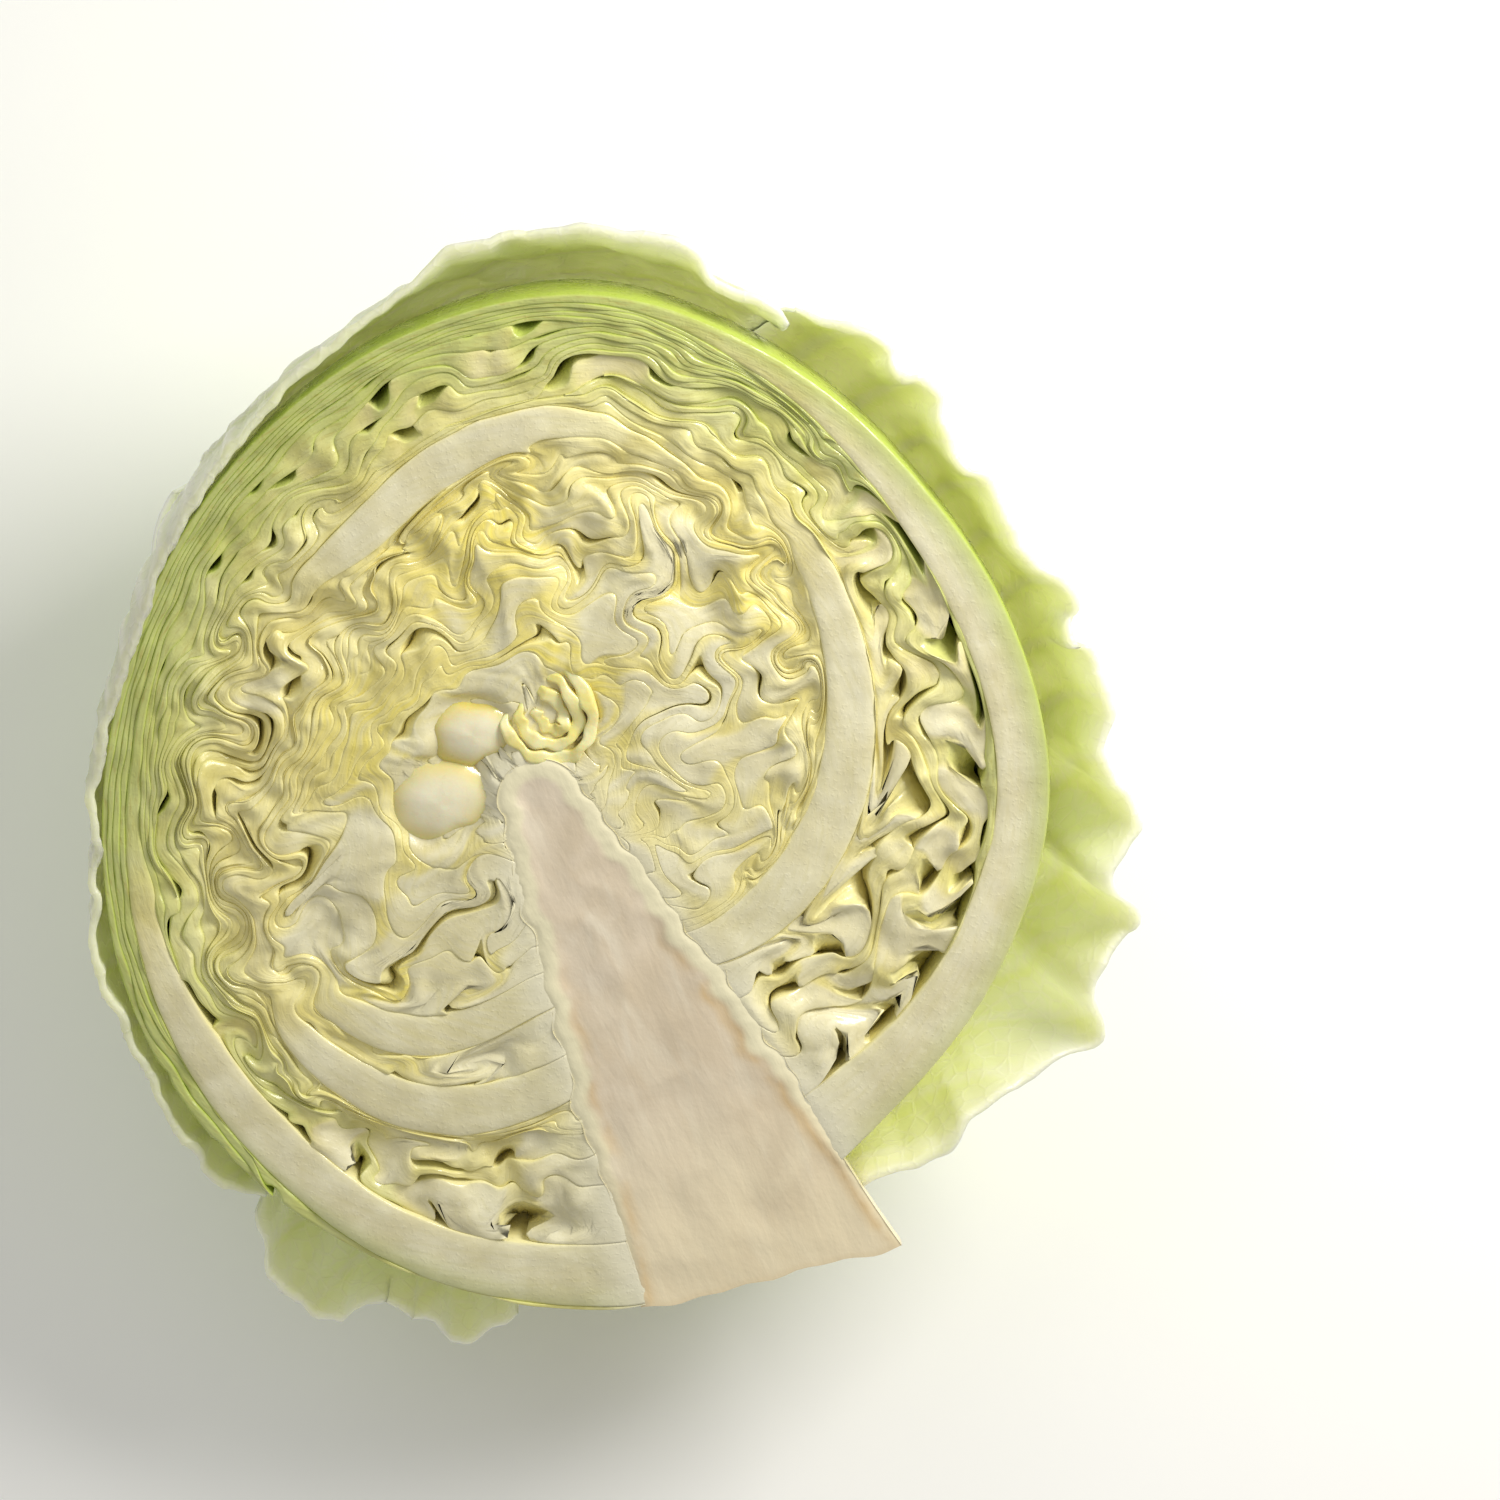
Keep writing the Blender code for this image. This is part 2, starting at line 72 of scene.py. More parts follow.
LOOK_AT = (35.7, 9.0, 0.0)
CAMERA_HEIGHT = math.radians(87)
CAMERA_AWAY = 1.5  # metres
FRAME_WIDTH = 0.255  # metres of the cut face across the picture
ROOM_LIGHT = 0.46
LIT_PLACE = Vector((0, 0, 0.08))  # where both lights point
FLOOR_SIZE = 4

aim = Vector(in_row(LOOK_AT))
back = Vector((0, -math.cos(CAMERA_HEIGHT), math.sin(CAMERA_HEIGHT)))
camera_data = bpy.data.cameras.new("camera")
camera_data.lens = camera_data.sensor_width * CAMERA_AWAY / FRAME_WIDTH
camera = bpy.data.objects.new("camera", camera_data)
camera.location = aim + back * CAMERA_AWAY
camera.rotation_mode = "QUATERNION"
camera.rotation_quaternion = (-back).to_track_quat("-Z", "Y")
bpy.context.scene.collection.objects.link(camera)
bpy.context.scene.camera = camera
bpy.context.scene.view_settings.view_transform = "Standard"

room = bpy.data.worlds.new("room")
room.use_nodes = True
room.node_tree.nodes["Background"].inputs["Color"].default_value = (1.0, 0.98, 0.95, 1)
room.node_tree.nodes["Background"].inputs["Strength"].default_value = ROOM_LIGHT
bpy.context.scene.world = room


def soft_light(name, place, size, power, colour):
    light = bpy.data.lights.new(name, "AREA")
    light.size = size
    light.energy = power
    light.color = colour
    lamp = bpy.data.objects.new(name, light)
    lamp.location = place
    lamp.rotation_mode = "QUATERNION"
    lamp.rotation_quaternion = (Vector(place) - LIT_PLACE).to_track_quat("Z", "Y")
    bpy.context.scene.collection.objects.link(lamp)


soft_light("window", (0.32, 0.22, 0.4), 0.22, 2.6, (1.0, 0.975, 0.93))
soft_light("bounce", (-0.5, 0.5, 0.8), 0.8, 1.6, (0.97, 0.99, 1.0))


class Shade:
    """A socket of a material's nodes, or a number, with arithmetic that adds Math nodes."""

    def __init__(self, material, socket):
        self.material = material
        self.socket = socket

    def math(self, operation, *values):
        return self.material.node("ShaderNodeMath", {"operation": operation}, values)

    def __add__(self, other):
        return self.math("ADD", self, other)

    def __sub__(self, other):
        return self.math("SUBTRACT", self, other)

    def __mul__(self, other):
        return self.math("MULTIPLY", self, other)

    def __rsub__(self, other):
        return self.math("SUBTRACT", other, self)

    __radd__ = __add__
    __rmul__ = __mul__

    def between(self, low, high):
        """0 below low, 1 above high, and smooth from one to the other."""
        sockets = {"Value": self, "From Min": low, "From Max": high}
        return self.material.node("ShaderNodeMapRange", {"interpolation_type": "SMOOTHSTEP"}, sockets)


class Finish:
    """A material made of nodes round one shader."""

    def __init__(self, name, **sockets):
        self.made = bpy.data.materials.new(name)
        self.made.use_nodes = True
        self.tree = self.made.node_tree
        self.shader = self.tree.nodes["Principled BSDF"]
        self.wear(**sockets)

    def wear(self, **sockets):
        """Links or fills sockets of the shader, named with _ in place of each space."""
        for socket, value in sockets.items():
            self.feed(self.shader.inputs[socket.replace("_", " ")], value)

    def node(self, kind, settings=None, values=(), out=0):
        """A node of that kind, with its settings made first and then its sockets linked or filled."""
        node = self.tree.nodes.new(kind)
        for setting, value in (settings or {}).items():
            setattr(node, setting, value)
        for key, value in values.items() if isinstance(values, dict) else enumerate(values):
            self.feed(node.inputs[key], value)
        return Shade(self, node.outputs[out])

    def feed(self, socket, value):
        if isinstance(value, Shade):
            self.tree.links.new(value.socket, socket)
        elif isinstance(value, tuple) and len(value) == 3 and socket.type == "RGBA":
            socket.default_value = (*value, 1)
        else:
            socket.default_value = value

    def mix(self, share, first, second):
        """The first colour turning into the second as share goes from 0 to 1."""
        return self.node("ShaderNodeMix", {"data_type": "RGBA"}, {0: share, 6: first, 7: second}, out=2)

    def coated(self, colour, *coats):
        """The colour under coats, each given as the share of the surface that it covers and its colour."""
        for share, coat in coats:
            colour = self.mix(share, colour, coat)
        return colour

    def painted(self, name):
        """A number that the mesh carries at each of its points."""
        return self.node("ShaderNodeAttribute", {"attribute_name": name}, out=2)

    def place(self):
        return self.node("ShaderNodeTexCoord", out=3)

    def noise(self, size, detail=3.0, bend=0.0):
        """Cloudy variation from 0 to 1, its patches about size millimetres wide."""
        sockets = {"Vector": self.place(), "Scale": 1000 / size, "Detail": detail, "Distortion": bend}
        return self.node("ShaderNodeTexNoise", values=sockets)

    def bump(self, height, millimetres, strength):
        sockets = {"Height": height, "Distance": millimetres / 1000, "Strength": strength}
        self.wear(Normal=self.node("ShaderNodeBump", values=sockets))


def paint(red, green, blue):
    """A colour as it looks on a screen, from 0 to 255, as the light that a shader wants."""
    return tuple(((value / 255 + 0.055) / 1.055) ** 2.4 for value in (red, green, blue))


floor_finish = Finish("floor", Roughness=0.6)
floor_tone = floor_finish.mix(floor_finish.noise(60), paint(250, 250, 248), paint(246, 246, 244))
floor_finish.wear(Base_Color=floor_tone)
bpy.ops.mesh.primitive_plane_add(size=FLOOR_SIZE)
floor = bpy.context.object
floor.name = "floor"
floor.data.materials.append(floor_finish.made)


# The tight head. Its outline at the rim and the hollow of its heart are measured from the core's tip,
# and the leaves between them are stacked from the outside in.

HEAD_DEPTH = 83.0
PRESSED_DEPTH = 80.4  # the table presses the head flat this far under the core's tip
HEAD_RIM = [
    (0, 88), (15, 83.6), (45, 84.5), (65, 86.7), (90, 85.8), (105, 85.4), (130, 88), (150, 89.8),
    (172, 84.9), (190, 80.1), (207, 76.6), (228, 73.9), (252, 75.2), (275, 80.1), (300, 85.8),
    (325, 91.1), (345, 94.6), (375, 83.6),
]
HEART_RIM = [
    (15, 10), (60, 10), (100, 14), (130, 22), (150, 24), (200, 26), (245, 27), (290, 16), (330, 11),
    (345, 10),
]
CORE_TIP_HALF = 4.0  # half the core's width at its tip
CORE_TAPER = 0.19  # how much that half grows in each millimetre towards the stem
FADE = 12.0  # a leaf thins out over these last degrees before its edge
ROUND_BY = 55.0  # the waves and ribs of the rim have died away at this depth, in degrees
BOTTOM_HEART = 0.18  # share of the head's radius that the leaves leave free under the core's tip
THIN_LEAF = 1.1  # thickness of every leaf deep below the cut
DOWNWARD = np.array([0, -math.sin(CUT_LEAN), -math.cos(CUT_LEAN)])  # to the table, seen from the cut


def smooth_through(knots, at):
    """A smooth curve through (x, y) knots, level beyond its ends."""
    xs, ys = np.array(sorted(knots), float).T
    if len(xs) == 1:
        return np.full(np.shape(at), ys[0])
    slopes = np.gradient(ys, xs)
    at = np.clip(at, xs[0], xs[-1])
    i = np.clip(np.searchsorted(xs, at) - 1, 0, len(xs) - 2)
    width = xs[i + 1] - xs[i]
    t = (at - xs[i]) / width
    start = ys[i] * (2 * t**3 - 3 * t**2 + 1) + slopes[i] * width * (t**3 - 2 * t**2 + t)
    end = ys[i + 1] * (3 * t**2 - 2 * t**3) + slopes[i + 1] * width * (t**3 - t**2)
    return start + end


def ease(share):
    share = np.clip(share, 0, 1)
    return share * share * (3 - 2 * share)


def wander(at, seed, periods, drift=0.0):
    """A smooth random curve of about -1 to 1 along the rim, from a few waves."""
    dice = np.random.default_rng(seed)
    total = 0
    for period in periods:
        turns = at / period + dice.random()
        total = total + np.sin(2 * np.pi * turns + drift * (1 + dice.random()))
    return total / len(periods) ** 0.7


def rim_radius(station):
    return smooth_through(HEAD_RIM, np.mod(station, 360))


def head_radius(station, depth, outside=0.0):
    """From the core's tip to the surface that far outside the tight head, pressed flat underneath."""
    way = outward(station, depth)
    dome = 1 / np.hypot(np.hypot(way[..., 0], way[..., 1]) / rim_radius(station), way[..., 2] / HEAD_DEPTH)
    dome = dome + outside
    down = way @ DOWNWARD
    table = (PRESSED_DEPTH + outside) / np.maximum(down, 0.3)
    return np.minimum(dome, np.where(down > 0.3, table, dome))


STIFF = (0, 0, 1, 1, 0)  # the last five numbers of a leaf with a thick rib
# name: station of the base, of the tip, thickness as (station, mm), room outside it, how that room
# swings and in what period, layers it is folded into, and how open it is at the cut
LEAVES = {
    "crown_leaf": (-13, 231, [(15, 13), (30, 10.5), (60, 9), (100, 7.5), (125, 4.5), (150, 1.6), (180, 1.1)],
                   *STIFF),
    "outer_leaf_1": (117, 303, [(117, 1.1)], 1.0, 0.4, 41, 2, 0.35),
    "outer_leaf_2": (123, 285, [(117, 1.1)], 1.0, 0.4, 37, 2, 0.35),
    "flank_leaf": (345, 171, [(345, 12), (325, 10), (290, 8), (262, 4), (235, 1.5), (200, 1.1)], *STIFF),
    "outer_leaf_3": (105, 273, [(117, 1.1)], 0.3, 0.7, 33, 2, 0.4),
    "outer_leaf_4": (117, 261, [(117, 1.1)], 0.3, 0.7, 29, 2, 0.4),
    "outer_leaf_5": (111, 249, [(117, 1.1)], 0.3, 0.7, 31, 2, 0.4),
    "crinkled_leaf_1": (15, 159, [(15, 2.4), (40, 2.1)], 0.9, 0.9, 25, 1, 0.7),
    "crinkled_leaf_2": (15, 147, [(15, 2.6), (40, 1.9)], 0.8, 0.85, 23, 2, 0.6),
    "crinkled_leaf_3": (15, 153, [(15, 2.4), (40, 2.1)], 0.8, 0.9, 27, 1, 0.7),
    "crinkled_leaf_4": (345, 231, [(345, 2.2), (325, 1.5)], 0.7, 0.9, 25, 1, 0.55),
    "crinkled_leaf_5": (345, 213, [(345, 2.4), (325, 1.5)], 0.7, 0.85, 22, 2, 0.6),
    "rib_leaf_2": (15, 171, [(15, 7.5), (40, 9.5), (75, 9), (105, 6), (130, 2), (150, 1.1)], *STIFF),
    "crown_rib_leaf": (111, 261, [(111, 1.1), (145, 4), (168, 8), (188, 7), (208, 2.5), (225, 1.1)], *STIFF),
    "pocket_leaf_1": (171, 303, [(200, 1.3)], 0.6, 0.9, 31, 2, 0.6),
    "pocket_leaf_2": (183, 291, [(200, 1.3)], 0.9, 0.9, 27, 2, 0.6),
    "rib_leaf_1": (345, 207, [(345, 8), (325, 9.5), (300, 7), (275, 2), (255, 1.1)], *STIFF),
    "inner_leaf_2": (345, 171, [(345, 2), (320, 1.5)], 0.9, 0.9, 25, 1, 0.35),
    "rib_leaf_3": (345, 195, [(345, 6), (325, 8.5), (300, 7), (280, 2), (262, 1.1)], *STIFF),
    "inner_leaf_1": (15, 183, [(15, 2), (45, 1.4)], 0.8, 0.9, 27, 2, 0.35),
    "inner_leaf_3": (15, 213, [(15, 3.5), (50, 3), (80, 1.4)], 0.8, 0.9, 30, 2, 0.3),
    "inner_leaf_4": (345, 153, [(345, 4), (310, 4.5), (280, 1.4)], 0.9, 0.9, 25, 2, 0.4),
    "heart_leaf_1": (15, 249, [(15, 2.5), (60, 1.4)], 0.9, 0.8, 36, 2, 0.3),
    "heart_leaf_2": (345, 123, [(345, 2.5), (300, 1.6), (250, 1.2)], 0.8, 0.8, 33, 1, 0.35),
    "heart_leaf_3": (39, 303, [(40, 1.2)], 0.8, 0.7, 45, 2, 0.25),
}
# The thick ribs don't wave. Their outer faces hold these courses, in millimetres from the core's tip.
COURSES = {
    "flank_leaf": [
        (15, 72), (60, 76), (90, 77), (117, 80), (150, 85), (172, 81), (190, 76), (207, 72.5), (228, 70),
        (252, 71.3), (275, 76), (300, 83), (325, 91), (345, 94.5),
    ],
    "rib_leaf_2": [
        (15, 40), (21, 42.5), (60, 54), (85, 60), (110, 66), (134, 71.5), (150, 72), (171, 67), (200, 61),
        (230, 59), (260, 61), (300, 67), (345, 60),
    ],
    "crown_rib_leaf": [
        (15, 30), (60, 44), (85, 49), (111, 56), (134, 65), (147, 69), (156, 70), (170, 66), (188, 59.5),
        (207, 57), (230, 57), (261, 60), (300, 66), (345, 59),
    ],
    "rib_leaf_1": [
        (15, 31), (60, 43), (85, 48), (110, 54), (130, 59), (160, 57), (178, 53), (192, 48), (207, 45),
        (235, 45), (250, 50), (275, 58), (297, 64), (318, 64.5), (341, 55), (345, 53),
    ],
    "rib_leaf_3": [
        (15, 30), (60, 42), (85, 47), (110, 53), (130, 57), (160, 55), (178, 50), (195, 44), (235, 42),
        (262, 48), (292, 54.5), (312, 51.5), (333, 40), (345, 36),
    ],
}


def present(name, station):
    """1 along a leaf, thinning to 0 at its edges. A base on the core's flank doesn't thin."""
    base, tip, *_ = LEAVES[name]
    low, high = min(base, tip), max(base, tip)
    here = np.ones(np.shape(station))
    if low > 15:
        here = here * ease((station - low) / FADE)
    if high < 345:
        here = here * ease((high - station) / FADE)
    return here


def slabs(station, depth):
    """For each leaf, and for the crumpled young leaves in the room that they leave, the shares of the
    head's radius between which it lies, and the share that its own body takes at the inner side."""
    wide, heart = rim_radius(station), smooth_through(HEART_RIM, station)
    bodies, rooms = [], []
    for number, (name, (base, _, knots, room, swing, period, *_)) in enumerate(LEAVES.items()):
        here = present(name, station)
        calm = ease(np.abs(station - base) / 30)
        turns = station / period + number * 0.618 + 0.012 * depth
        bodies.append(here * (smooth_through(knots, station) + 0.15))
        rooms.append(here * room * (1 + calm * swing * np.sin(2 * np.pi * turns)))
    packed = np.minimum(1, (wide - heart) / np.maximum(sum(bodies), 1e-6))
    bodies = [packed * body for body in bodies]
    names = list(LEAVES)
    held = [number for number, name in enumerate(names) if name in COURSES]
    blend = ease(depth / ROUND_BY)
    pitch = (1 - BOTTOM_HEART) / len(names)
    found = {}
    edge = wide
    for first, last in zip([0] + [number + 1 for number in held], held + [len(names)]):
        course = heart if last == len(names) else smooth_through(COURSES[names[last]], station)
        course = np.clip(course, heart + sum(bodies[last:]), edge - sum(bodies[first:last]))
        free = edge - sum(bodies[first:last]) - course
        share_out = free / np.maximum(sum(rooms[first:last]), 0.25)
        for number in range(first, last):
            top = edge
            edge = edge - rooms[number] * share_out - bodies[number]
            found[names[number]] = (number, top, edge, bodies[number])
        if last < len(names):
            found[f"room_{held.index(last) + 1}"] = (last - 0.5, edge, course, 0 * edge)
            edge = course - bodies[last]
            found[names[last]] = (last, course, edge, bodies[last])
    found["room_0"] = (len(names) - 0.5, edge, np.full(np.shape(station), 3.0), 0 * edge)
    for name, (number, top, bottom, body) in found.items():
        low_top = 1 - pitch * (number + 0.1)
        low_bottom = 1 - pitch * (number + (0.9 if name in LEAVES else 0.3))
        top = top / wide * (1 - blend) + low_top * blend
        bottom = bottom / wide * (1 - blend) + low_bottom * blend
        body = np.maximum(body, 0.3) / wide * (1 - blend) + THIN_LEAF / HEAD_DEPTH * blend
        found[name] = (top, bottom, body)
    return found


# How the leaves are folded. A pattern of slow eddies over the cut face carries the thin leaves round in
# curls, without ever pushing one through another. The ribs, the rim and the core hold still in it.

EDDY_STEP = 0.5  # millimetres between the places where the eddies are worked out
EDDY_REACH = 105.0  # and how far they are, each way from the core's tip
FOLDING_STEPS = 20
EDDIES = [(27.0, 2.4, 11), (14.0, 2.5, 14), (8.0, 0.9, 12)]  # size across, strength, number of each kind
# Round parts of the heart, as (across, up), half width, depth
BUDS = {"heart_bud_1": ((-17.2, -0.8), 10.4, 4.8), "heart_bud_2": ((-11.4, 11.4), 8.2, 4.4)}
CURL_CENTRE = (2.6, 14.5)
# Where the leaves are yellow at the cut: (across, up), and how far round it
YELLOW_SPOTS = [
    ((3, 18), 11), ((30, 38), 12), ((-18, -35), 15), ((-11, 8), 9), ((-8, 45), 14), ((-28, 12), 10),
]


def flank_distance(across, up):
    """Millimetres from the core's flank, in the cut plane. Negative inside the core."""
    stem, beside = outward(0), outward(90)
    along = across * stem[0] + up * stem[1]
    aside = np.abs(across * beside[0] + up * beside[1])
    slope = math.hypot(1, CORE_TAPER)
    flank = (aside - CORE_TIP_HALF - CORE_TAPER * along) / slope
    return np.where(along > 0, flank, np.maximum(flank, np.hypot(along, aside) - CORE_TIP_HALF))


def band_width(along):
    """Of the pale tissue beside the core's dense flesh, in millimetres. The leaves grow out of it."""
    return 3.4 * (1 - 0.8 * ease((along - 50) / 40))


def waves(across, up, seed, size, number):
    """Random hills and hollows of about -1 to 1 over the cut face."""
    dice = np.random.default_rng(seed)
    total = 0
    for _ in range(number):
        turn, phase = dice.random(2) * 2 * np.pi
        wave = 2 * np.pi / (size * (0.8 + 0.4 * dice.random()))
        total = total + np.sin(wave * (across * math.cos(turn) + up * math.sin(turn)) + phase)
    return total * 1.4 / number**0.5


def eddy_field():
    """How far the eddies carry each place across and up, and how far the cut face sags there."""
    line = np.arange(-EDDY_REACH, EDDY_REACH + EDDY_STEP, EDDY_STEP)
    up, across = np.meshgrid(line, line, indexing="ij")
    radius = np.hypot(across, up)
    station = np.mod(np.degrees(np.arctan2(up, across)) + 90 - STEM_LEAN, 360)
    loose = ease((rim_radius(station) - 1.0 - radius) / 14) * ease((flank_distance(across, up) - 1) / 11)
    for name, (_, _, knots, *_) in LEAVES.items():
        if name not in COURSES and name != "crown_leaf":
            continue
        outer = smooth_through(COURSES[name], station) if name in COURSES else rim_radius(station)
        thick = smooth_through(knots, station)
        away = np.maximum(radius - outer, outer - thick - radius)
        stiff = present(name, station) * ease((thick - 1.5) / 4)
        loose = loose * (1 - stiff * (1 - ease(away / 3.5)))
    crisp = ease((station - 110) / 30) * ease((300 - station) / 20) * ease((radius - 58) / 8)
    loose = loose * (1 - 0.6 * crisp)
    in_ribs = loose
    loose = loose * (0.64 + 0.36 * ease((radius - 35) / 12))
    broad = ease((station - 20) / 20) * ease((115 - station) / 25) * ease((radius - 50) / 10)
    stream = 0
    for seed, (size, strength, number) in enumerate(EDDIES):
        strength = strength * (1 + broad * (0.4 if size > 20 else -0.55))
        stream = stream + strength * size / 2 / np.pi * waves(across, up, 41 + seed, size, number)
    stream = stream * loose
    calm = 0.35 + 0.65 * ease((radius - 34) / 14)
    sag = calm * in_ribs * (0.8 + 0.8 * waves(across, up, 7, 19, 9)).clip(0, 3)
    ripples = 0.28 * waves(across, up, 8, 7, 14) + 0.1 * waves(across, up, 9, 3, 18)
    sag = sag + (0.15 + 0.85 * in_ribs) * calm * ripples
    for (right, top), half, _ in BUDS.values():
        sag = sag + 1.7 * (1 - ease((np.hypot(across - right, up - top) - half * 0.7) / 3.0))
    near_curl = np.hypot(across - CURL_CENTRE[0], (up - CURL_CENTRE[1]) * 0.85)
    sag = sag + 1.4 * (1 - ease((near_curl - 5.5) / 3))
    along = across * outward(0)[0] + up * outward(0)[1]
    sag = sag + 0.55 * (1 - ease((flank_distance(across, up) - band_width(along) + 2.2) / 2.6))
    return np.gradient(stream, EDDY_STEP, axis=0), -np.gradient(stream, EDDY_STEP, axis=1), sag


EDDY_ACROSS, EDDY_UP, SAG = eddy_field()


def sampled(field, across, up):
    x = np.clip((across + EDDY_REACH) / EDDY_STEP, 0, field.shape[1] - 1.001)
    y = np.clip((up + EDDY_REACH) / EDDY_STEP, 0, field.shape[0] - 1.001)
    i, j = x.astype(int), y.astype(int)
    s, t = x - i, y - j
    low = field[j, i] * (1 - s) + field[j, i + 1] * s
    high = field[j + 1, i] * (1 - s) + field[j + 1, i + 1] * s
    return low * (1 - t) + high * t


def folded(points):
    """Carries points of the head round with the eddies, less and less below the cut, and lets the
    loose parts of the cut face sag a little."""
    across, up, out = points[..., 0].copy(), points[..., 1].copy(), points[..., 2]
    step = np.exp(-((out / 17) ** 2)) / FOLDING_STEPS
    for _ in range(FOLDING_STEPS):
        half_across = across + sampled(EDDY_ACROSS, across, up) * step / 2
        half_up = up + sampled(EDDY_UP, across, up) * step / 2
        across = across + sampled(EDDY_ACROSS, half_across, half_up) * step
        up = up + sampled(EDDY_UP, half_across, half_up) * step
    return np.stack([across, up, out - sampled(SAG, across, up) * np.exp(out / 7)], -1)


# Each leaf of the tight head is a crisp shell. Where the knife went through, its edge shows as a ribbon
# with rounded corners. Crumpled leaves are several such layers, one inside the other.

ROWS = np.array([0, 0.025, 0.06, 0.11, 0.19, 0.32, 0.55, 0.95])  # shares of the way down
SHORT_ROWS = 6  # layers inside a crumpled leaf end at this row
YOUNG_LEAVES = {"room_1": 1, "room_2": 2, "room_3": 2, "room_4": 2, "room_5": 1, "room_0": 3}
LOWEST_FLOOR = 4.6  # where leaves stand apart at the cut, they meet again about this far down
LAYER_STEP = 0.85  # millimetres between the points along a layer
UNDER_CORE = 13.0  # this near the stem, in degrees, the crown leaf runs under the core
# Points across the cut face of a layer: their share from its inner face, how far in from the corner as a
# share of its thickness and at most in millimetres, how far down, and how much of the leaf's skin shows
CORNERS = [
    (1, 0.06, 0.12, 0.22, 0.6), (1, 0.18, 0.5, 0.03, 0.15), (0.76, 0, 0, 0, 0), (0.63, 0, 0, 0, 0),
    (0.5, 0, 0, 0, 0), (0.37, 0, 0, 0, 0), (0.24, 0, 0, 0, 0), (0, 0.18, 0.5, 0.03, 0.15),
    (0, 0.06, 0.12, 0.22, 0.6),
]


def add_mesh(name, points, faces, finish, painted):
    """A piece of that finish. painted has the numbers or vectors that it carries at each point."""
    mesh = bpy.data.meshes.new(name)
    mesh.from_pydata(in_row(points).reshape(-1, 3).tolist(), [], faces)
    mesh.materials.append(finish.made)
    for label, values in painted.items():
        values = np.asarray(values, np.float32).ravel()
        single = len(values) == len(mesh.vertices)
        kind, field = ("FLOAT", "value") if single else ("FLOAT_VECTOR", "vector")
        mesh.attributes.new(label, kind, "POINT").data.foreach_set(field, values)
    mesh.shade_smooth()
    piece = bpy.data.objects.new(name, mesh)
    bpy.context.scene.collection.objects.link(piece)
    return piece


def ring_faces(rings, start=0):
    """Faces of a tube through those rings of points, with flat caps of quads at its ends."""
    columns, rows, _ = rings.shape
    number = start + np.arange(rows * columns).reshape(columns, rows)
    around = np.roll(number, -1, axis=1)
    quads = np.stack([number[:-1], around[:-1], around[1:], number[1:]], -1).reshape(-1, 4).tolist()
    for ring, turned in ((number[0], False), (number[-1], True)):
        for k in range((rows - 1) // 2):
            cap = [ring[k], ring[k + 1], ring[rows - 2 - k], ring[rows - 1 - k]]
            cap = list(dict.fromkeys(int(c) for c in cap))
            if len(cap) > 2:
                quads.append(cap[::-1] if turned else cap)
    return quads


def near_flank(points, start, width):
    """0 up to start millimetres from the core's flank, 1 from width further on."""
    return ease((flank_distance(points[..., 0], points[..., 1]) - start) / width)


def layer_line(name, share_out, share_in, low, high):
    """The stations of one layer of a leaf, evenly spaced along the course that it takes at the cut. The
    shares say where its faces lie in the leaf's slab."""
    ends = []
    for side in (15.0, 345.0):
        top, bottom, _ = slabs(np.array(side), np.array(0.0))[name]
        far = (top + (bottom - top) * share_out) * rim_radius(side)
        inside = CORE_TIP_HALF + CORE_TAPER * far * 0.96 + band_width(far) - 2.0
        ends.append(math.degrees(math.asin(min(inside / far, 0.92))))
    trial = np.linspace(ends[0] if low == 15 else low, 360 - ends[1] if high == 345 else high, 3000)
    top, bottom, _ = slabs(trial, 0 * trial)[name]
    steps = 0
    for share in (share_out, share_in):
        path = outward(trial) * ((top + (bottom - top) * share) * rim_radius(trial))[:, None]
        for course in (path, folded(path)):
            steps = np.maximum(steps, np.linalg.norm(np.diff(course, axis=0), axis=1))
    run = np.append(0, np.cumsum(steps))
    return np.interp(np.linspace(0, run[-1], max(24, int(run[-1] / LAYER_STEP))), run, trial)


def leaf_paint(points, station, thick, free, skin, seed):
    """The numbers that a leaf's material uses, at each point of one layer."""
    share = np.hypot(points[:, 0], points[:, 1]) / rim_radius(station)
    leafy = ease((station - 20) / 60) * ease((345 - station) / 50)
    crust = ease((share - 0.68) / 0.32) * (1 - ease((thick - 2) / 3)) * leafy
    rind = ease((share - 0.93) / 0.08) * (0.35 + 0.65 * leafy)
    tint = np.random.default_rng(seed + 77).random()
    spots = 0
    for (x, y), wide in YELLOW_SPOTS:
        spots = spots + np.exp(-((points[:, 0] - x) ** 2 + (points[:, 1] - y) ** 2) / wide**2)
    return {
        "skin": skin * (0.25 + 0.75 * free),
        "root": 1 - near_flank(points, 0, 9),
        "green": np.maximum(crust, rind),
        "yellow": np.clip(spots * (0.5 + 0.8 * tint) + 0.25 * tint, 0, 1) * free,
        "rib": ease((thick - 3) / 4),
        # painted shade: a deeper olive-yellow tone down in the gaps below the cut face
        "below": ease((-points[:, 2] - 1) / 10),
    }


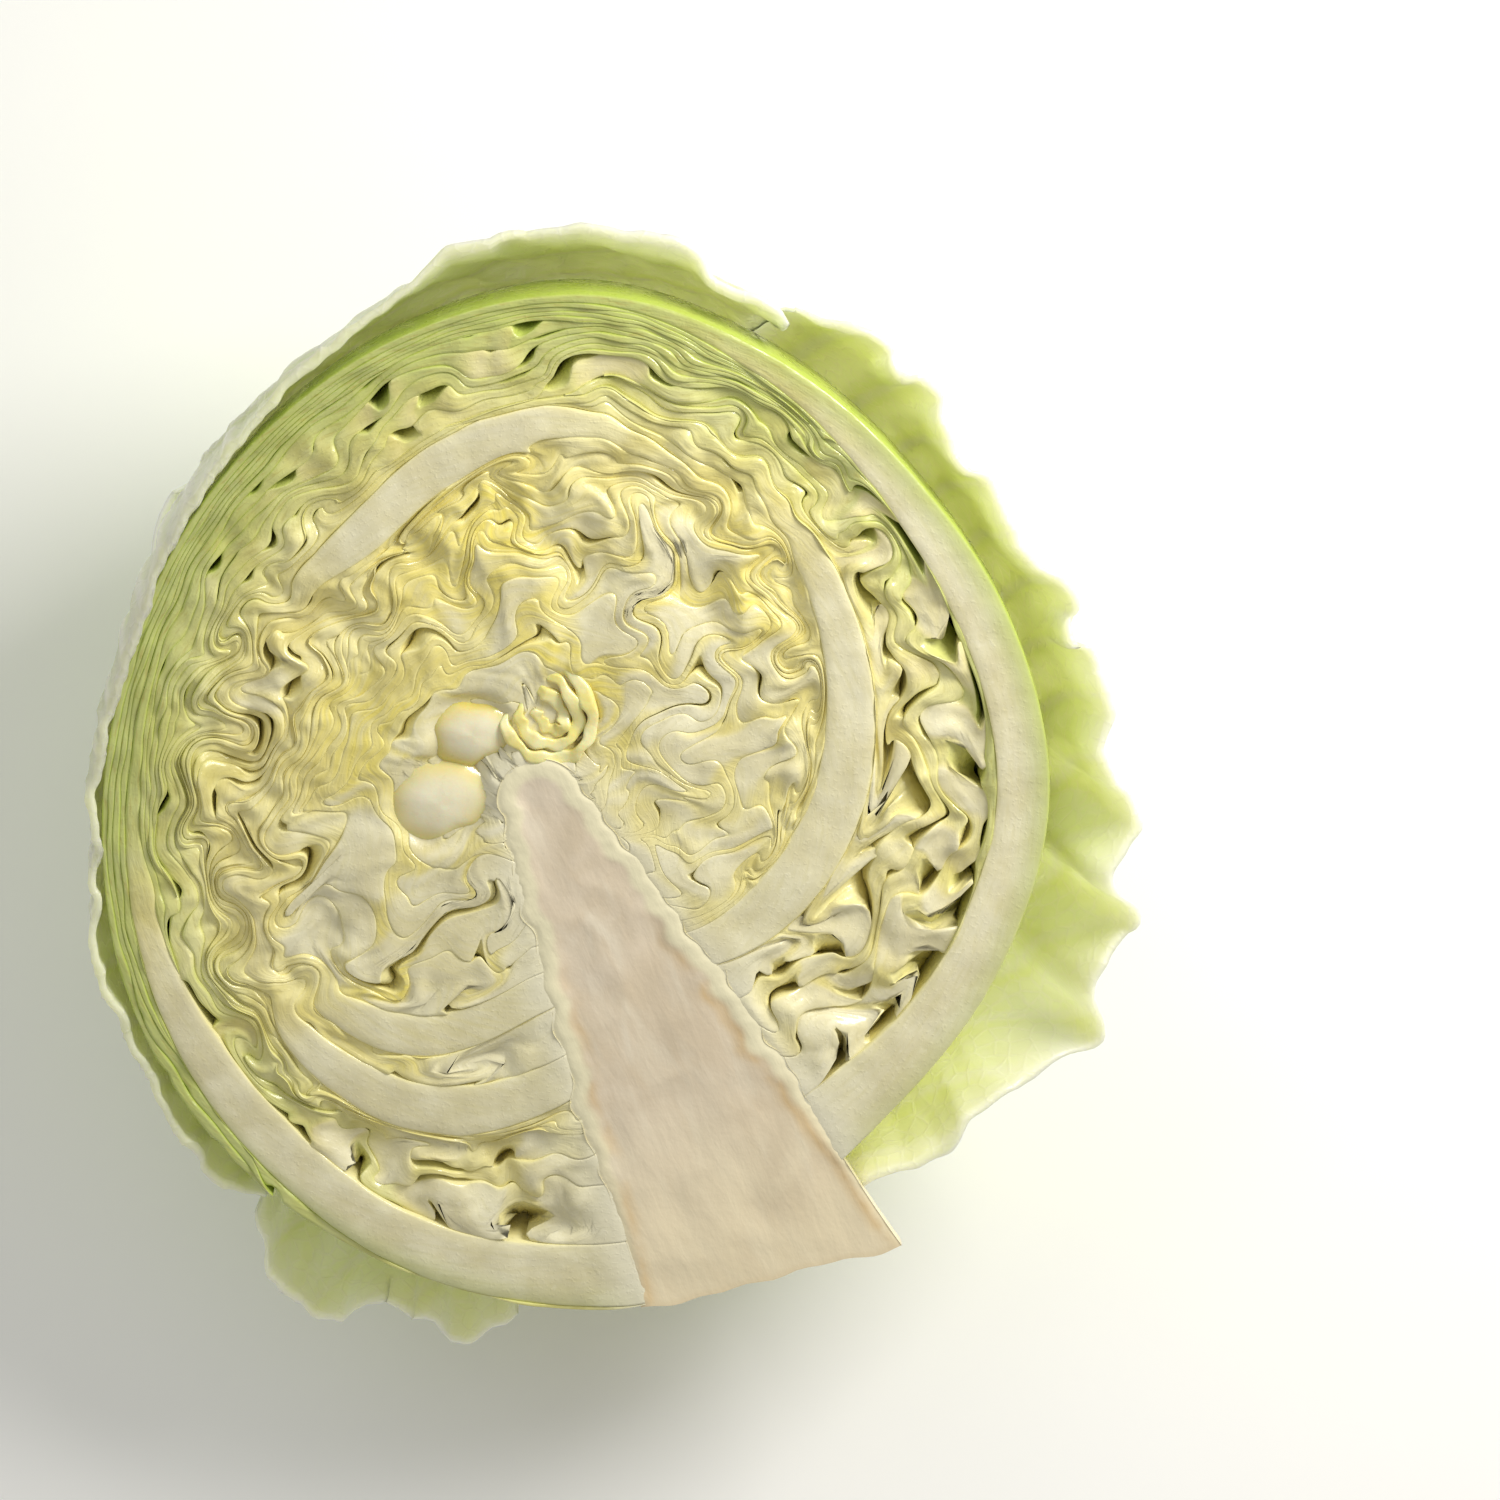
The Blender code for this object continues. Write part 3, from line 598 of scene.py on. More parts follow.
def leaf_layers(name):
    """Points, faces and painted numbers of all the layers of one leaf."""
    if name in LEAVES:
        base, tip, _, _, _, _, layers, open_share = LEAVES[name]
        number = list(LEAVES).index(name)
    else:
        base, tip, layers, open_share = 15, 345, YOUNG_LEAVES[name], 0.3
        number = 40 + int(name[-1])
    low, high = min(base, tip), max(base, tip)
    crumpled = name.startswith(("crinkled", "pocket", "room"))

    def cuts(station, depth, at):
        """Where the outer face of layer number at lies in its leaf's slab, from 0 to 1."""
        if at == 0 or at == layers:
            return at / layers + 0 * station
        wave = wander(station, number * 10 + at, (19, 11, 33), 0.03 * depth)
        return (at + 0.32 * wave) / layers

    all_points, all_faces = [], []
    painted = {label: [] for label in ("skin", "root", "green", "yellow", "rib", "below", "grain")}
    count = 0
    for layer in range(layers):
        seed = number * 10 + layer
        line = layer_line(name, layer / layers, (layer + 1) / layers, low, high)
        top, bottom, _ = slabs(np.array(345.0), np.array(0.0))[name]
        middle = (top + (bottom - top) * (layer + 0.5) / layers) * rim_radius(345.0)
        rows = ROWS if layer == 0 and name in LEAVES else ROWS[:SHORT_ROWS]
        rim_share = slabs(line, np.zeros(len(line)))[name][0]
        start_depth = np.degrees(0.35 / np.maximum(rim_share * rim_radius(line), 3))
        # The crown leaf goes on past the stem, and there it starts under the core.
        under_core = np.abs(line) < UNDER_CORE
        if low < 0:
            under = np.cos(np.radians(np.minimum(np.abs(line), UNDER_CORE)))
            under = np.cos(np.radians(UNDER_CORE + 0.1)) / under
            under = np.degrees(np.arccos(np.clip(under, -1, 1))) + 0.5
            start_depth = np.where(under_core, under, start_depth)
        depth = start_depth[:, None] + (90 - start_depth[:, None]) * rows
        station = np.repeat(line[:, None], len(rows), 1)
        top, bottom, body = slabs(station, depth)[name]
        radius = head_radius(station, depth)
        outer = (top + (bottom - top) * cuts(station, depth, layer)) * radius
        inner = (top + (bottom - top) * cuts(station, depth, layer + 1)) * radius
        cell = outer - inner
        own = np.minimum(body * radius, cell)
        at_rim = outward(line) * ((outer + inner)[:, :1] / 2)
        free = near_flank(at_rim, 4, 9)
        # A thin leaf fills its slab, but for stretches near the cut where it stands apart from the next.
        if open_share > 0:
            ajar = wander(station * middle / 60, seed + 500, (9, 14, 23))
            ajar = ease((ajar - 1.0 + 1.9 * open_share) / 0.9)
            ajar = ajar * free[:, None] * np.exp(-((radius * np.sin(np.radians(depth)) / LOWEST_FLOOR) ** 2))
            widest = 1.6 + 0.09 * np.maximum(radius - 30, 0)
            own = cell + 0.15 - ajar * np.clip(cell - np.maximum(own, 1.2), 0, widest)
        outer = inner + own
        way = outward(station, depth)
        outer_side = way * outer[..., None]
        inner_side = way * inner[..., None]
        thick = own[:, 0]
        # How far the cut edge has sunk below the face of the cut.
        sunk, periods = (0.35, (13, 27, 7)) if open_share > 0 else (0.25, (43, 27))
        rough = sunk * (1 + wander(line, seed + 900, periods))
        if crumpled:
            rough = rough + 0.8 * open_share * (1 + wander(line, seed + 950, (17, 31)))
        crisp = 0.3 + 0.7 * ease((inner[:, 0] - 30) / 14)
        drop = (0.05 + 0.08 * (seed % 5) + rough) * free * crisp
        # The cut edge itself, from its outer corner to its inner one.
        corners = []
        for share, edge_share, most, down, _ in CORNERS:
            inset = np.minimum(thick * edge_share, most)
            at = inner[:, 0] + thick * share + (inset if share < 0.5 else -inset if share > 0.5 else 0)
            corner = outward(line) * at[:, None]
            corner[:, 2] = -np.minimum(down * (0.15 + 0.85 * free) * crisp, thick * 0.4)
            if low < 0:
                mix = 1 - np.clip((at - inner[:, 0]) / np.maximum(thick, 0.1), 0, 1)[:, None]
                below = outer_side[:, 0] * (1 - mix) + inner_side[:, 0] * mix
                corner = np.where(under_core[:, None], below, corner)
            corners.append(corner)
        ring = np.concatenate([outer_side[:, ::-1], np.stack(corners, 1), inner_side], axis=1)
        skin_ring = np.pad([corner[-1] for corner in CORNERS], len(rows), constant_values=1)
        ring[..., 2] -= drop[:, None] * np.exp(ring[..., 2] / 6)
        along_leaf = np.repeat(np.radians(line)[:, None] * middle, ring.shape[1], 1)
        grain = np.stack([along_leaf, np.linalg.norm(ring, axis=-1), ring[..., 2]], -1)
        painted["grain"].append(grain.reshape(-1, 3) + 50 * layer)
        ring = folded(ring)
        all_faces += ring_faces(ring, count)
        points = ring.reshape(-1, 3)
        count += len(points)
        all_points.append(points)
        across_cut = ring.shape[1]
        looks = leaf_paint(
            points, np.repeat(line, across_cut), np.repeat(thick, across_cut), np.repeat(free, across_cut),
            np.tile(skin_ring, len(line)), seed,
        )
        for label, values in looks.items():
            painted[label].append(values)
    painted = {label: np.concatenate(parts) for label, parts in painted.items()}
    return np.concatenate(all_points), all_faces, painted


leaf_finish = Finish("leaf", Coat_Roughness=0.1, IOR=1.4)
green = leaf_finish.painted("green")
rib = leaf_finish.painted("rib")


def fibres(along, through, detail):
    """Cloudy variation drawn out along the leaf's layers, its patches that many millimetres each way."""
    grain = leaf_finish.node("ShaderNodeAttribute", {"attribute_name": "grain"}, out=1)
    shape = (1 / along, 1 / through, 1 / along)
    scaled = leaf_finish.node("ShaderNodeVectorMath", {"operation": "MULTIPLY"}, [grain, shape])
    return leaf_finish.node("ShaderNodeTexNoise", values={"Vector": scaled, "Scale": 1.0, "Detail": detail})


fine = leaf_finish.noise(1.2, 3)
streaks = fibres(7.0, 0.9, 4)
threads = fibres(3.0, 0.45, 3)
cloudy = leaf_finish.noise(9, 4).between(0.3, 0.7)
rib_flesh = leaf_finish.coated(
    leaf_finish.mix(cloudy, paint(214, 207, 172), paint(230, 225, 196)),
    (streaks.between(0.45, 0.7) * 0.35, paint(206, 200, 158)),
    (fine.between(0.6, 0.75) * 0.25, paint(242, 239, 220)),
)
heart_yellow = leaf_finish.painted("yellow") * (0.3 + 0.6 * streaks.between(0.35, 0.65)) * (1 - 0.85 * rib)
# Darker olive threads drawn out along the layers, most on the green outer layers.
dark_threads = threads.between(0.5, 0.75) * (1 - 0.8 * rib) * (0.25 + 0.45 * green)
skin_tone = leaf_finish.mix(green, paint(240, 232, 166), paint(172, 194, 66))
# Painted shade for the gaps between the leaves below the cut face: deeper olive-yellow, greener in the green
# outer layers.
gap_shade_tone = leaf_finish.mix(green, paint(240, 226, 140), paint(194, 208, 84))
leaf_tone = leaf_finish.coated(
    leaf_finish.mix(cloudy, paint(212, 200, 128), paint(236, 228, 172)),
    (rib * 0.85, rib_flesh),
    (heart_yellow, paint(232, 216, 104)),
    (green * 0.85, paint(176, 188, 106)),
    (dark_threads, paint(176, 166, 88)),
    (leaf_finish.painted("skin") * (0.5 + 0.4 * fine), skin_tone),
    (leaf_finish.painted("root") * 0.8, paint(230, 225, 200)),
    (leaf_finish.painted("below") * 0.7, gap_shade_tone),
)
leaf_finish.wear(
    Base_Color=leaf_tone,
    Roughness=0.16 + 0.3 * leaf_finish.noise(2.5, 3),
    Coat_Weight=leaf_finish.noise(3.5, 3).between(0.4, 0.65),
)
wet = leaf_finish.noise(0.7, 2).between(0.5, 0.8)
uneven = (streaks * 1.2 + threads * 0.6 + fine * 0.2) * (1 - 0.85 * rib)
leaf_finish.bump(uneven + wet * 0.25 + leaf_finish.noise(5, 3) * 1.5, 0.3, 0.5)

for name in [*LEAVES, *YOUNG_LEAVES]:
    points, faces, painted = leaf_layers(name)
    leaf = add_mesh(name + "_folds", points, faces, leaf_finish, painted)
    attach(leaf, "root")
    if name in LEAVES:
        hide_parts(name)


# The core is the solid stem inside the head, cut in half. Its flesh is dense and pinkish tan, paler
# where the leaf bases grow out of it, and its lower end is the stalk that was cut off on a slant.

CORE_LENGTH = 96.5
CORE_END_SLANT = 0.16
CORE_POINTS = 33  # across the cut face, and as many round the hidden side

core_finish = Finish("core", Coat_Weight=0.25, Coat_Roughness=0.2, IOR=1.38)
lengthways = core_finish.node(
    "ShaderNodeCombineXYZ", values=[core_finish.painted("along") * 0.3, core_finish.painted("aside"), 0.0]
)


def grain(size, detail, bend):
    """Cloudy variation drawn out along the core, its patches about size millimetres wide."""
    sockets = {"Vector": lengthways, "Scale": 1 / size, "Detail": detail, "Distortion": bend}
    return core_finish.node("ShaderNodeTexNoise", values=sockets)


mottle = core_finish.noise(20, 5, 1.0)
ragged = (core_finish.painted("band") + 0.5 * (core_finish.noise(3, 4) - 0.5)).between(0.1, 0.95)
# Paler and yellower towards the stalk's end.
paler_to_stalk = core_finish.painted("along") * (1 / 96) * (0.7 + 0.6 * mottle)
tan = core_finish.painted("tan") * core_finish.noise(9, 4).between(0.35, 0.6)
core_tone = core_finish.coated(
    core_finish.mix(mottle.between(0.3, 0.7), paint(214, 198, 170), paint(226, 212, 188)),
    (grain(5, 4, 0.8).between(0.45, 0.8) * 0.5, paint(236, 228, 206)),
    (grain(3, 3, 0.4).between(0.55, 0.8) * 0.3, paint(204, 184, 152)),
    (ragged, paint(232, 225, 190)),
    (paler_to_stalk.between(0.5, 1.0) * 0.7, paint(236, 222, 184)),
    (tan * 0.65, paint(212, 178, 118)),
    (core_finish.painted("stalk_end"), paint(222, 204, 166)),
)
core_finish.wear(Base_Color=core_tone, Roughness=0.32 + 0.2 * core_finish.noise(3, 3))
core_finish.bump(core_finish.noise(0.8, 3) * 0.3 + core_finish.noise(6, 4) + grain(2, 3, 0.3), 0.25, 0.5)

stem, beside, under = outward(0), outward(90), np.array([0.0, 0.0, -1.0])
tip_half = CORE_TIP_HALF + band_width(0)
round_tip = -tip_half * np.cos(np.radians(np.linspace(4, 84, 12)))
along = np.concatenate([round_tip, np.linspace(0, CORE_LENGTH, 150)])
band_half = band_width(along)
tip_round = np.sqrt(np.maximum(tip_half**2 - along**2, 0.02))
half = np.where(along < 0, tip_round, CORE_TIP_HALF + CORE_TAPER * along + band_half)
side_ways = np.sin(np.linspace(-1, 1, CORE_POINTS) * np.pi / 2)
across = np.concatenate([side_ways, np.cos(np.linspace(0, np.pi, CORE_POINTS))])
down = np.concatenate([np.zeros(CORE_POINTS), np.sin(np.linspace(0, np.pi, CORE_POINTS)) + 0.004])
# The flanks waver, but not at the tip or the stalk.
calm = ease((78 - along) / 20) * ease((along + 4) / 6)
right_wave = 0.8 * wander(along, 61, (23, 11, 6)) * calm
left_wave = (0.3 + 0.8 * wander(along, 62, (21, 12, 7))) * calm
along = along[:, None]
band_half = band_half[:, None]
half_here = half[:, None] + np.where(across > 0, right_wave[:, None], left_wave[:, None])
beside_by = half_here * across
places = along[..., None] * stem + beside_by[..., None] * beside + (half[:, None] * down)[..., None] * under
from_edge = np.where(along < 0, tip_half - np.hypot(along, beside_by), half_here * (1 - np.abs(across)))
in_band = 1 - ease((from_edge - band_half + 1.4) / 2.8)
# The cut face is a little uneven and sinks at its edge, and the stalk's end is slanting and chipped.
flat = places[..., 0], places[..., 1]
wobble = (waves(*flat, 3, 24, 7) * 0.3 + waves(*flat, 4, 9, 9) * 0.12) * (1 - in_band)
wobble = wobble + 0.1 * waves(*flat, 5, 4, 9) * in_band
edge_drop = 0.3 * np.exp(-((from_edge / 0.7) ** 2))
on_cut = down == 0
places[..., 2] += on_cut * (0.12 - 0.7 * np.abs(wobble) - edge_drop)
slant = ease((along - CORE_LENGTH + 18) / 18) * beside_by * CORE_END_SLANT
chipped = ease((along - CORE_LENGTH + 5) / 5) * 0.5 * wander(beside_by, 63, (31, 17, 9))
places = places + (slant + chipped)[..., None] * stem
lower = ease((along - 22) / 20) * np.where(across > 0, 1, 0.8)
core = add_mesh("core_flesh", places, ring_faces(places), core_finish, {
    "band": in_band,
    "tan": np.exp(-((from_edge - band_half - 0.9) ** 2)) * lower * on_cut,
    "stalk_end": 0.6 * ease((along - CORE_LENGTH + 1.5) / 1.5) + 0 * beside_by,
    "along": along + 0 * beside_by,
    "aside": beside_by + 3 * down,
})
core.data.set_sharp_from_angle(angle=math.radians(50))
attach(core, "root")
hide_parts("core")


# Two plump leaf bases swell up in the heart. They are smooth, wet and white, and yellow where they come
# out of the leaves round them, partly their own colour and partly painted shade where they meet them.

BUD_TURNS = 64  # points round a bud
BUD_TILTS = 40  # and from its top to its bottom

bud_finish = Finish(
    "bud", Subsurface_Weight=0.25, Subsurface_Scale=0.003, Coat_Weight=1.0, Coat_Roughness=0.08, IOR=1.45
)
bud_tone = bud_finish.mix(bud_finish.noise(6, 3), paint(226, 218, 178), paint(240, 235, 208))
# The foot's darker yellow is partly the bud's own colour and partly painted shade where it meets the leaves.
bud_tone = bud_finish.mix(bud_finish.painted("foot_tint_and_shade"), bud_tone, paint(224, 206, 112))
bud_finish.wear(Base_Color=bud_tone, Roughness=0.2 + 0.2 * bud_finish.noise(2, 2))
bud_finish.bump(bud_finish.noise(3, 3), 0.3, 0.4)

for name, ((right, top), wide, deep) in BUDS.items():
    turns = np.linspace(0, 2 * np.pi, BUD_TURNS + 1)[:-1]
    turn, tilt = np.meshgrid(turns, np.radians(np.linspace(1, 179, BUD_TILTS)), indexing="ij")
    lump = 0.1 * np.sin(3 * turn + right) + 0.12 * np.sin(2 * turn - top) + 0.03 * np.sin(7 * turn)
    lump = 1 + lump * np.sin(tilt)
    bud_points = np.stack([
        right + wide * np.sin(tilt) * np.cos(turn) * lump,
        top + wide * 0.86 * np.sin(tilt) * np.sin(turn) * lump,
        -0.25 - deep + deep * np.cos(tilt) + 0.25 * np.sin(3 * turn + top) * np.sin(tilt) * np.cos(tilt),
    ], -1)
    number = np.arange(BUD_TURNS * BUD_TILTS).reshape(BUD_TURNS, BUD_TILTS)
    after = np.roll(number, -1, axis=0)
    quads = np.stack([number[:, :-1], number[:, 1:], after[:, 1:], after[:, :-1]], -1).reshape(-1, 4).tolist()
    quads += [number[:, 0].tolist(), number[::-1, -1].tolist()]
    foot_tint_and_shade = ease((-bud_points[..., 2] - 0.35) / 1.7) * (1.0 if top > 5 else 0.75)
    bud = add_mesh(name + "_flesh", bud_points, quads, bud_finish, {"foot_tint_and_shade": foot_tint_and_shade})
    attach(bud, "root")
    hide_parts(name)


# The tip of the youngest leaf is folded up beside them: three hooked folds of yellow leaf, one inside
# the other, with a dark slit between them. Their edges are paler than their faces.

# The way of each fold over the cut face, outermost first
CURL_FOLDS = [
    [(3.0, 24.0), (6.4, 21.0), (8.6, 16.0), (8.3, 11.0), (5.5, 7.9), (1.5, 7.2), (-2.5, 8.6), (-5.2, 11.5),
     (-6, 15)],
    [(0.5, 22.6), (3.6, 20.4), (6.0, 16.6), (6.2, 12.6), (4.2, 10.1), (1.0, 9.8), (-1.8, 11.3), (-3.4, 14),
     (-3, 17)],
    [(-1.4, 19.6), (1.2, 18.6), (3.6, 15.8), (4.1, 13.4), (2.9, 12.2), (1.2, 12.8), (-0.2, 14.4), (-0.8, 16)],
]
CURL_SHEET = 2.7  # thickness of each fold
CURL_POINTS = 130  # along each fold
# Points round a fold: the side as a share of half its thickness, and how far down
CURL_PROFILE = [
    (1, 6.0), (1, 3.5), (1, 1.3), (1, 0.4), (0.92, 0.1), (0.5, 0), (-0.5, 0), (-0.92, 0.1), (-1, 0.4),
    (-1, 1.3), (-1, 3.5), (-1, 6.0),
]

curl_finish = Finish(
    "curl", Subsurface_Weight=0.2, Subsurface_Scale=0.002, Coat_Weight=0.4, Coat_Roughness=0.1, IOR=1.38
)
curl_patches = curl_finish.noise(4, 4).between(0.3, 0.7)
curl_tone = curl_finish.mix(curl_patches, paint(234, 222, 134), paint(240, 234, 178))
curl_tone = curl_finish.mix(curl_finish.painted("deep") * 0.8, curl_tone, paint(226, 204, 90))
curl_finish.wear(Base_Color=curl_tone, Roughness=0.25 + 0.2 * curl_finish.noise(2, 2))
curl_finish.bump(curl_finish.noise(1.5, 3), 0.3, 0.5)
curl_points, curl_faces, curl_deep = [], [], []
for fold, knots in enumerate(CURL_FOLDS):
    along_fold = np.linspace(0, len(knots) - 1, CURL_POINTS)[:, None]
    right, top = (smooth_through(list(enumerate(side)), along_fold) for side in zip(*knots))
    way_right, way_top = np.gradient(right, axis=0), np.gradient(top, axis=0)
    size = np.hypot(way_right, way_top)
    side, deep = np.array(CURL_PROFILE).T
    from_end = np.minimum(along_fold, len(knots) - 1 - along_fold)
    thick = CURL_SHEET * (0.8 + 0.2 * wander(along_fold, 80 + fold, (3.1, 1.3)))
    frill = 0.3 * wander(along_fold, 70 + fold, (1.7, 0.9))
    aside = side * thick / 2 * ease((from_end + 0.35) / 1.2) + frill * np.exp(-deep / 2) - 0.08 * deep
    high = -0.1 + 0.5 * wander(along_fold, 90 + fold, (1.9, 3.7)) - 0.4 * fold
    high = high - 0.9 * (1 - ease(from_end / 1.1))
    ring = np.stack([
        right + way_top / size * aside, top - way_right / size * aside, high * np.exp(-deep / 3) - deep,
    ], -1)
    curl_faces += ring_faces(ring, fold * CURL_POINTS * len(CURL_PROFILE))
    curl_points.append(ring)
    curl_deep.append(ease(deep / 2.5) + 0 * along_fold)
curl = add_mesh("heart_curl_folds", np.stack(curl_points), curl_faces, curl_finish, {
    "deep": np.stack(curl_deep),
})
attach(curl, "root")
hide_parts("heart_curl")


# The loose leaves outside the tight head. The knife cut through two of them, so they end in a rim
# along the cut, ruffled where they stand off, and a torn one hangs at the lower left. They are bright
# yellow-green and thin, with a pale midrib and pale veins branching from it.

# Station, how far the rim stands off the tight head, and how far it drops below the cut
LEFT_WRAPPER_RIM = [
    (129, 1.5, 2), (141, 3.5, 1.5), (153, 5, 1), (165, 4.5, 0), (175, 2, 0), (189, 1, 0), (207, 0.5, 0),
    (225, 0, 0), (243, 1.0, 0), (255, 0.2, 0), (267, 1.6, 0), (279, 0.8, 1), (291, 2.4, 2), (303, 1.5, 6),
]
RIGHT_WRAPPER_RIM = [
    (9, -1.5, 6), (15, 1, 3), (21, 5, 4), (27, 5, 3), (33, 8, 9), (39, 15, 12), (45, 7, 6), (51, 12, 8),
    (57, 2.5, 2), (63, 8, 4), (69, 1, 1), (75, 3.5, 1), (81, 1, 0), (87, 3, 1), (93, 0.8, 0),
    (105, 1.5, 0), (117, 4.5, 1), (129, 3, 4),
]
TORN_LEAF_RIM = [(303, 1, 7), (309, 9, 8), (315, 10, 11), (321, 2, 9), (327, 7, 13), (333, 1, 12)]
RIM_STEP = 0.6  # degrees between the points along a rim
VEIN_PITCH = 13.0  # millimetres from branch to branch
AWAY = 88  # about how far the loose leaves are from the core's tip


def round_stem(way):
    """Degrees from the stem's line, and degrees round it from the right flank by the underside."""
    along = way @ outward(0)
    right = way @ outward(90)
    down = -way[..., 2]
    return np.degrees(np.arccos(np.clip(along, -1, 1))), np.degrees(np.arctan2(down, right))


def veins(way, midrib, seed):
    """How strongly a vein shows at each place of a leaf whose midrib lies that far round, from 0 to 1,
    for the midrib and for its branches."""
    far, turned = round_stem(way)
    turned = turned - midrib
    aside = np.abs(np.radians(turned) * np.sin(np.radians(far)) * AWAY)
    up = np.radians(far) * AWAY
    sway = waves(way[..., 0] * AWAY, way[..., 1] * AWAY, seed, 60, 5)
    rib = np.exp(-((aside / np.clip(7 - up * 0.03, 1.2, 7)) ** 2))
    slope = 1.15 - 0.004 * up
    line = (up - slope * aside + 0.004 * aside**2 + 2.2 * sway) / VEIN_PITCH + 0.5 * (turned > 0)
    off = np.abs(line - np.round(line)) * VEIN_PITCH / 1.5
    branch = np.exp(-((off / np.clip(1.5 - aside * 0.012, 0.6, 1.5)) ** 2))
    fork_sway = waves(way[..., 0] * AWAY, way[..., 2] * AWAY, seed + 1, 30, 6)
    fork = (up - 0.35 * aside + 3.5 * fork_sway) / (VEIN_PITCH * 0.7)
    off = np.abs(fork - np.round(fork)) * VEIN_PITCH * 0.6
    twig = 0.4 * np.exp(-((off / 0.7) ** 2)) * ease((aside - 12) / 20)
    return rib, np.maximum(branch * ease(aside / 6), twig)


def over_rim(outer, inner, *rim):
    """Values round a leaf: up its outer side, over its rim where it has its own, and down its inner."""
    return np.concatenate([outer[:, ::-1], *rim, inner], axis=1)


def loose_leaf(name, rim, level, bulge, deepest, midrib, lip, crimps, thickness, seed, ragged=0.25):
    """A leaf whose rim runs along the cut, level millimetres outside the tight head, and leans out by
    the lip, given as (station, millimetres). It bulges a little below, ends deepest degrees down, and
    its midrib lies that many degrees round the stem. crimps are its folds, as (from, to, millimetres,
    period in degrees), and ragged is how far the torn rim wanders, in millimetres."""
    line = np.arange(rim[0][0], rim[-1][0] + 0.01, RIM_STEP)
    rows = deepest * np.linspace(0, 1, int(deepest * 0.9)) ** 1.3
    station, depth = np.meshgrid(line, rows, indexing="ij")
    loose = np.exp(-((depth / 15) ** 2))
    off = loose * smooth_through([(at, off) for at, off, _ in rim], station)
    off = off + bulge * np.sin(np.pi * np.clip(depth / 45, 0, 1))
    drop = loose * smooth_through([(at, drop) for at, _, drop in rim], station)
    lip_wave = 1 + 0.3 * wander(station, seed + 3, (11, 19))
    off = off + smooth_through(lip, station) * np.exp(-depth / 2.8) * lip_wave
    off = off + loose * ragged * wander(station, seed + 4, (5, 3.1, 7.3))
    # The crimps fold the leaf in and out near its rim, and carry it along a little.
    shift = 0
    for start, stop, size, period in crimps:
        here = ease((station - start) / 6) * ease((stop - station) / 6) * size
        here = here * (0.75 + 0.45 * wander(station, seed + 1, (23, 37)))
        wave = 2 * np.pi * station / period + 1.6 * wander(station, seed, (31, 17)) + 0.05 * depth
        tight = np.exp(-((depth / 7) ** 2))
        off = off + here * tight * (1 + np.sin(wave)) / 2
        shift = shift - here * tight * 0.28 * np.sin(2 * wave) / 90
        drop = drop + here * tight * 0.35 * np.sin(wave + 1.3)
    way = outward(station + np.degrees(shift), depth)
    rib, branch = veins(way, midrib, seed)
    lumps = waves(way[..., 0] * 90 + way[..., 2] * 40, way[..., 1] * 90, seed + 5, 13, 9)
    lumps = lumps * 0.3 * ease(depth / 8)
    taper = ease((line - line[0]) / 5 + 0.25) * ease((line[-1] - line) / 5 + 0.25)
    body = thickness * (0.35 + 0.65 * taper[:, None]) * (1 - 0.35 * depth / deepest)
    # The lower edge is torn unevenly.
    ripped = 2.5 * (1 + wander(line, seed + 9, (23, 9, 5, 2.6)))
    depth = depth - ripped[:, None] * ease((depth / deepest - 0.75) / 0.25)
    way = outward(station + np.degrees(shift), depth)
    surface = head_radius(station, depth, level) + off + lumps
    raised = body + 0.9 * rib * ease((60 - depth) / 60) + 0.55 * branch
    inner = way * (surface - 0.15 * branch)[..., None]
    outer = way * (surface + raised)[..., None]
    inner[..., 2] -= drop
    outer[..., 2] -= drop
    middle = (inner[:, :1] + outer[:, :1]) / 2 + np.array([0, 0, 0.3 * thickness])
    one = np.ones((len(line), 1))
    vein = np.maximum(rib, branch)
    near_rim = np.exp(-np.maximum(depth, 0) / 4.5)
    pale = ease((np.abs(station - 180) - 60) / 90)
    ring = over_rim(outer, inner, middle)
    return add_mesh(name, ring, ring_faces(ring), wrapper_finish, {
        "vein": over_rim(vein, vein * 0.8, 0 * one),
        "edge": over_rim(near_rim, near_rim, one),
        "inside": over_rim(0 * depth, 0 * depth + 1, 0.5 * one),
        "pale": over_rim(pale, pale, pale[:, :1]),
    })


wrapper_finish = Finish(
    "loose_leaf", Subsurface_Weight=0.9, Subsurface_Scale=0.01, Subsurface_Radius=(0.95, 1.0, 0.62),
    Coat_Weight=0.35, Coat_Roughness=0.2, IOR=1.4,
)
patches = wrapper_finish.noise(28, 4).between(0.3, 0.7)
freckle = wrapper_finish.noise(2.2, 4)
cells = {"Vector": wrapper_finish.place(), "Scale": 330.0}
cells = wrapper_finish.node("ShaderNodeTexVoronoi", {"feature": "DISTANCE_TO_EDGE"}, cells)
net = 1 - cells.between(0.0, 0.12)
blade_tone = wrapper_finish.coated(
    wrapper_finish.mix(patches, paint(206, 233, 128), paint(226, 243, 168)),
    (wrapper_finish.painted("pale") * 0.4, paint(230, 240, 176)),
    # The inner side's paler chartreuse is partly its own colour and partly painted light, brightened for the
    # light that shines through the leaf.
    (wrapper_finish.painted("inside") * 0.6, paint(228, 252, 150)),
    (freckle.between(0.5, 0.8) * 0.3, paint(232, 244, 170)),
    (net * 0.22, paint(240, 246, 196)),
    (wrapper_finish.painted("vein").between(0.2, 0.9) * 0.7, paint(238, 245, 200)),
    (wrapper_finish.painted("edge") * 0.7, paint(242, 243, 190)),
)
wrapper_finish.wear(Base_Color=blade_tone, Roughness=0.3 + 0.2 * wrapper_finish.noise(6, 3))
wrapper_finish.bump(net * 0.4 + wrapper_finish.noise(5, 4) * 1.5 + freckle * 0.3, 0.4, 0.5)

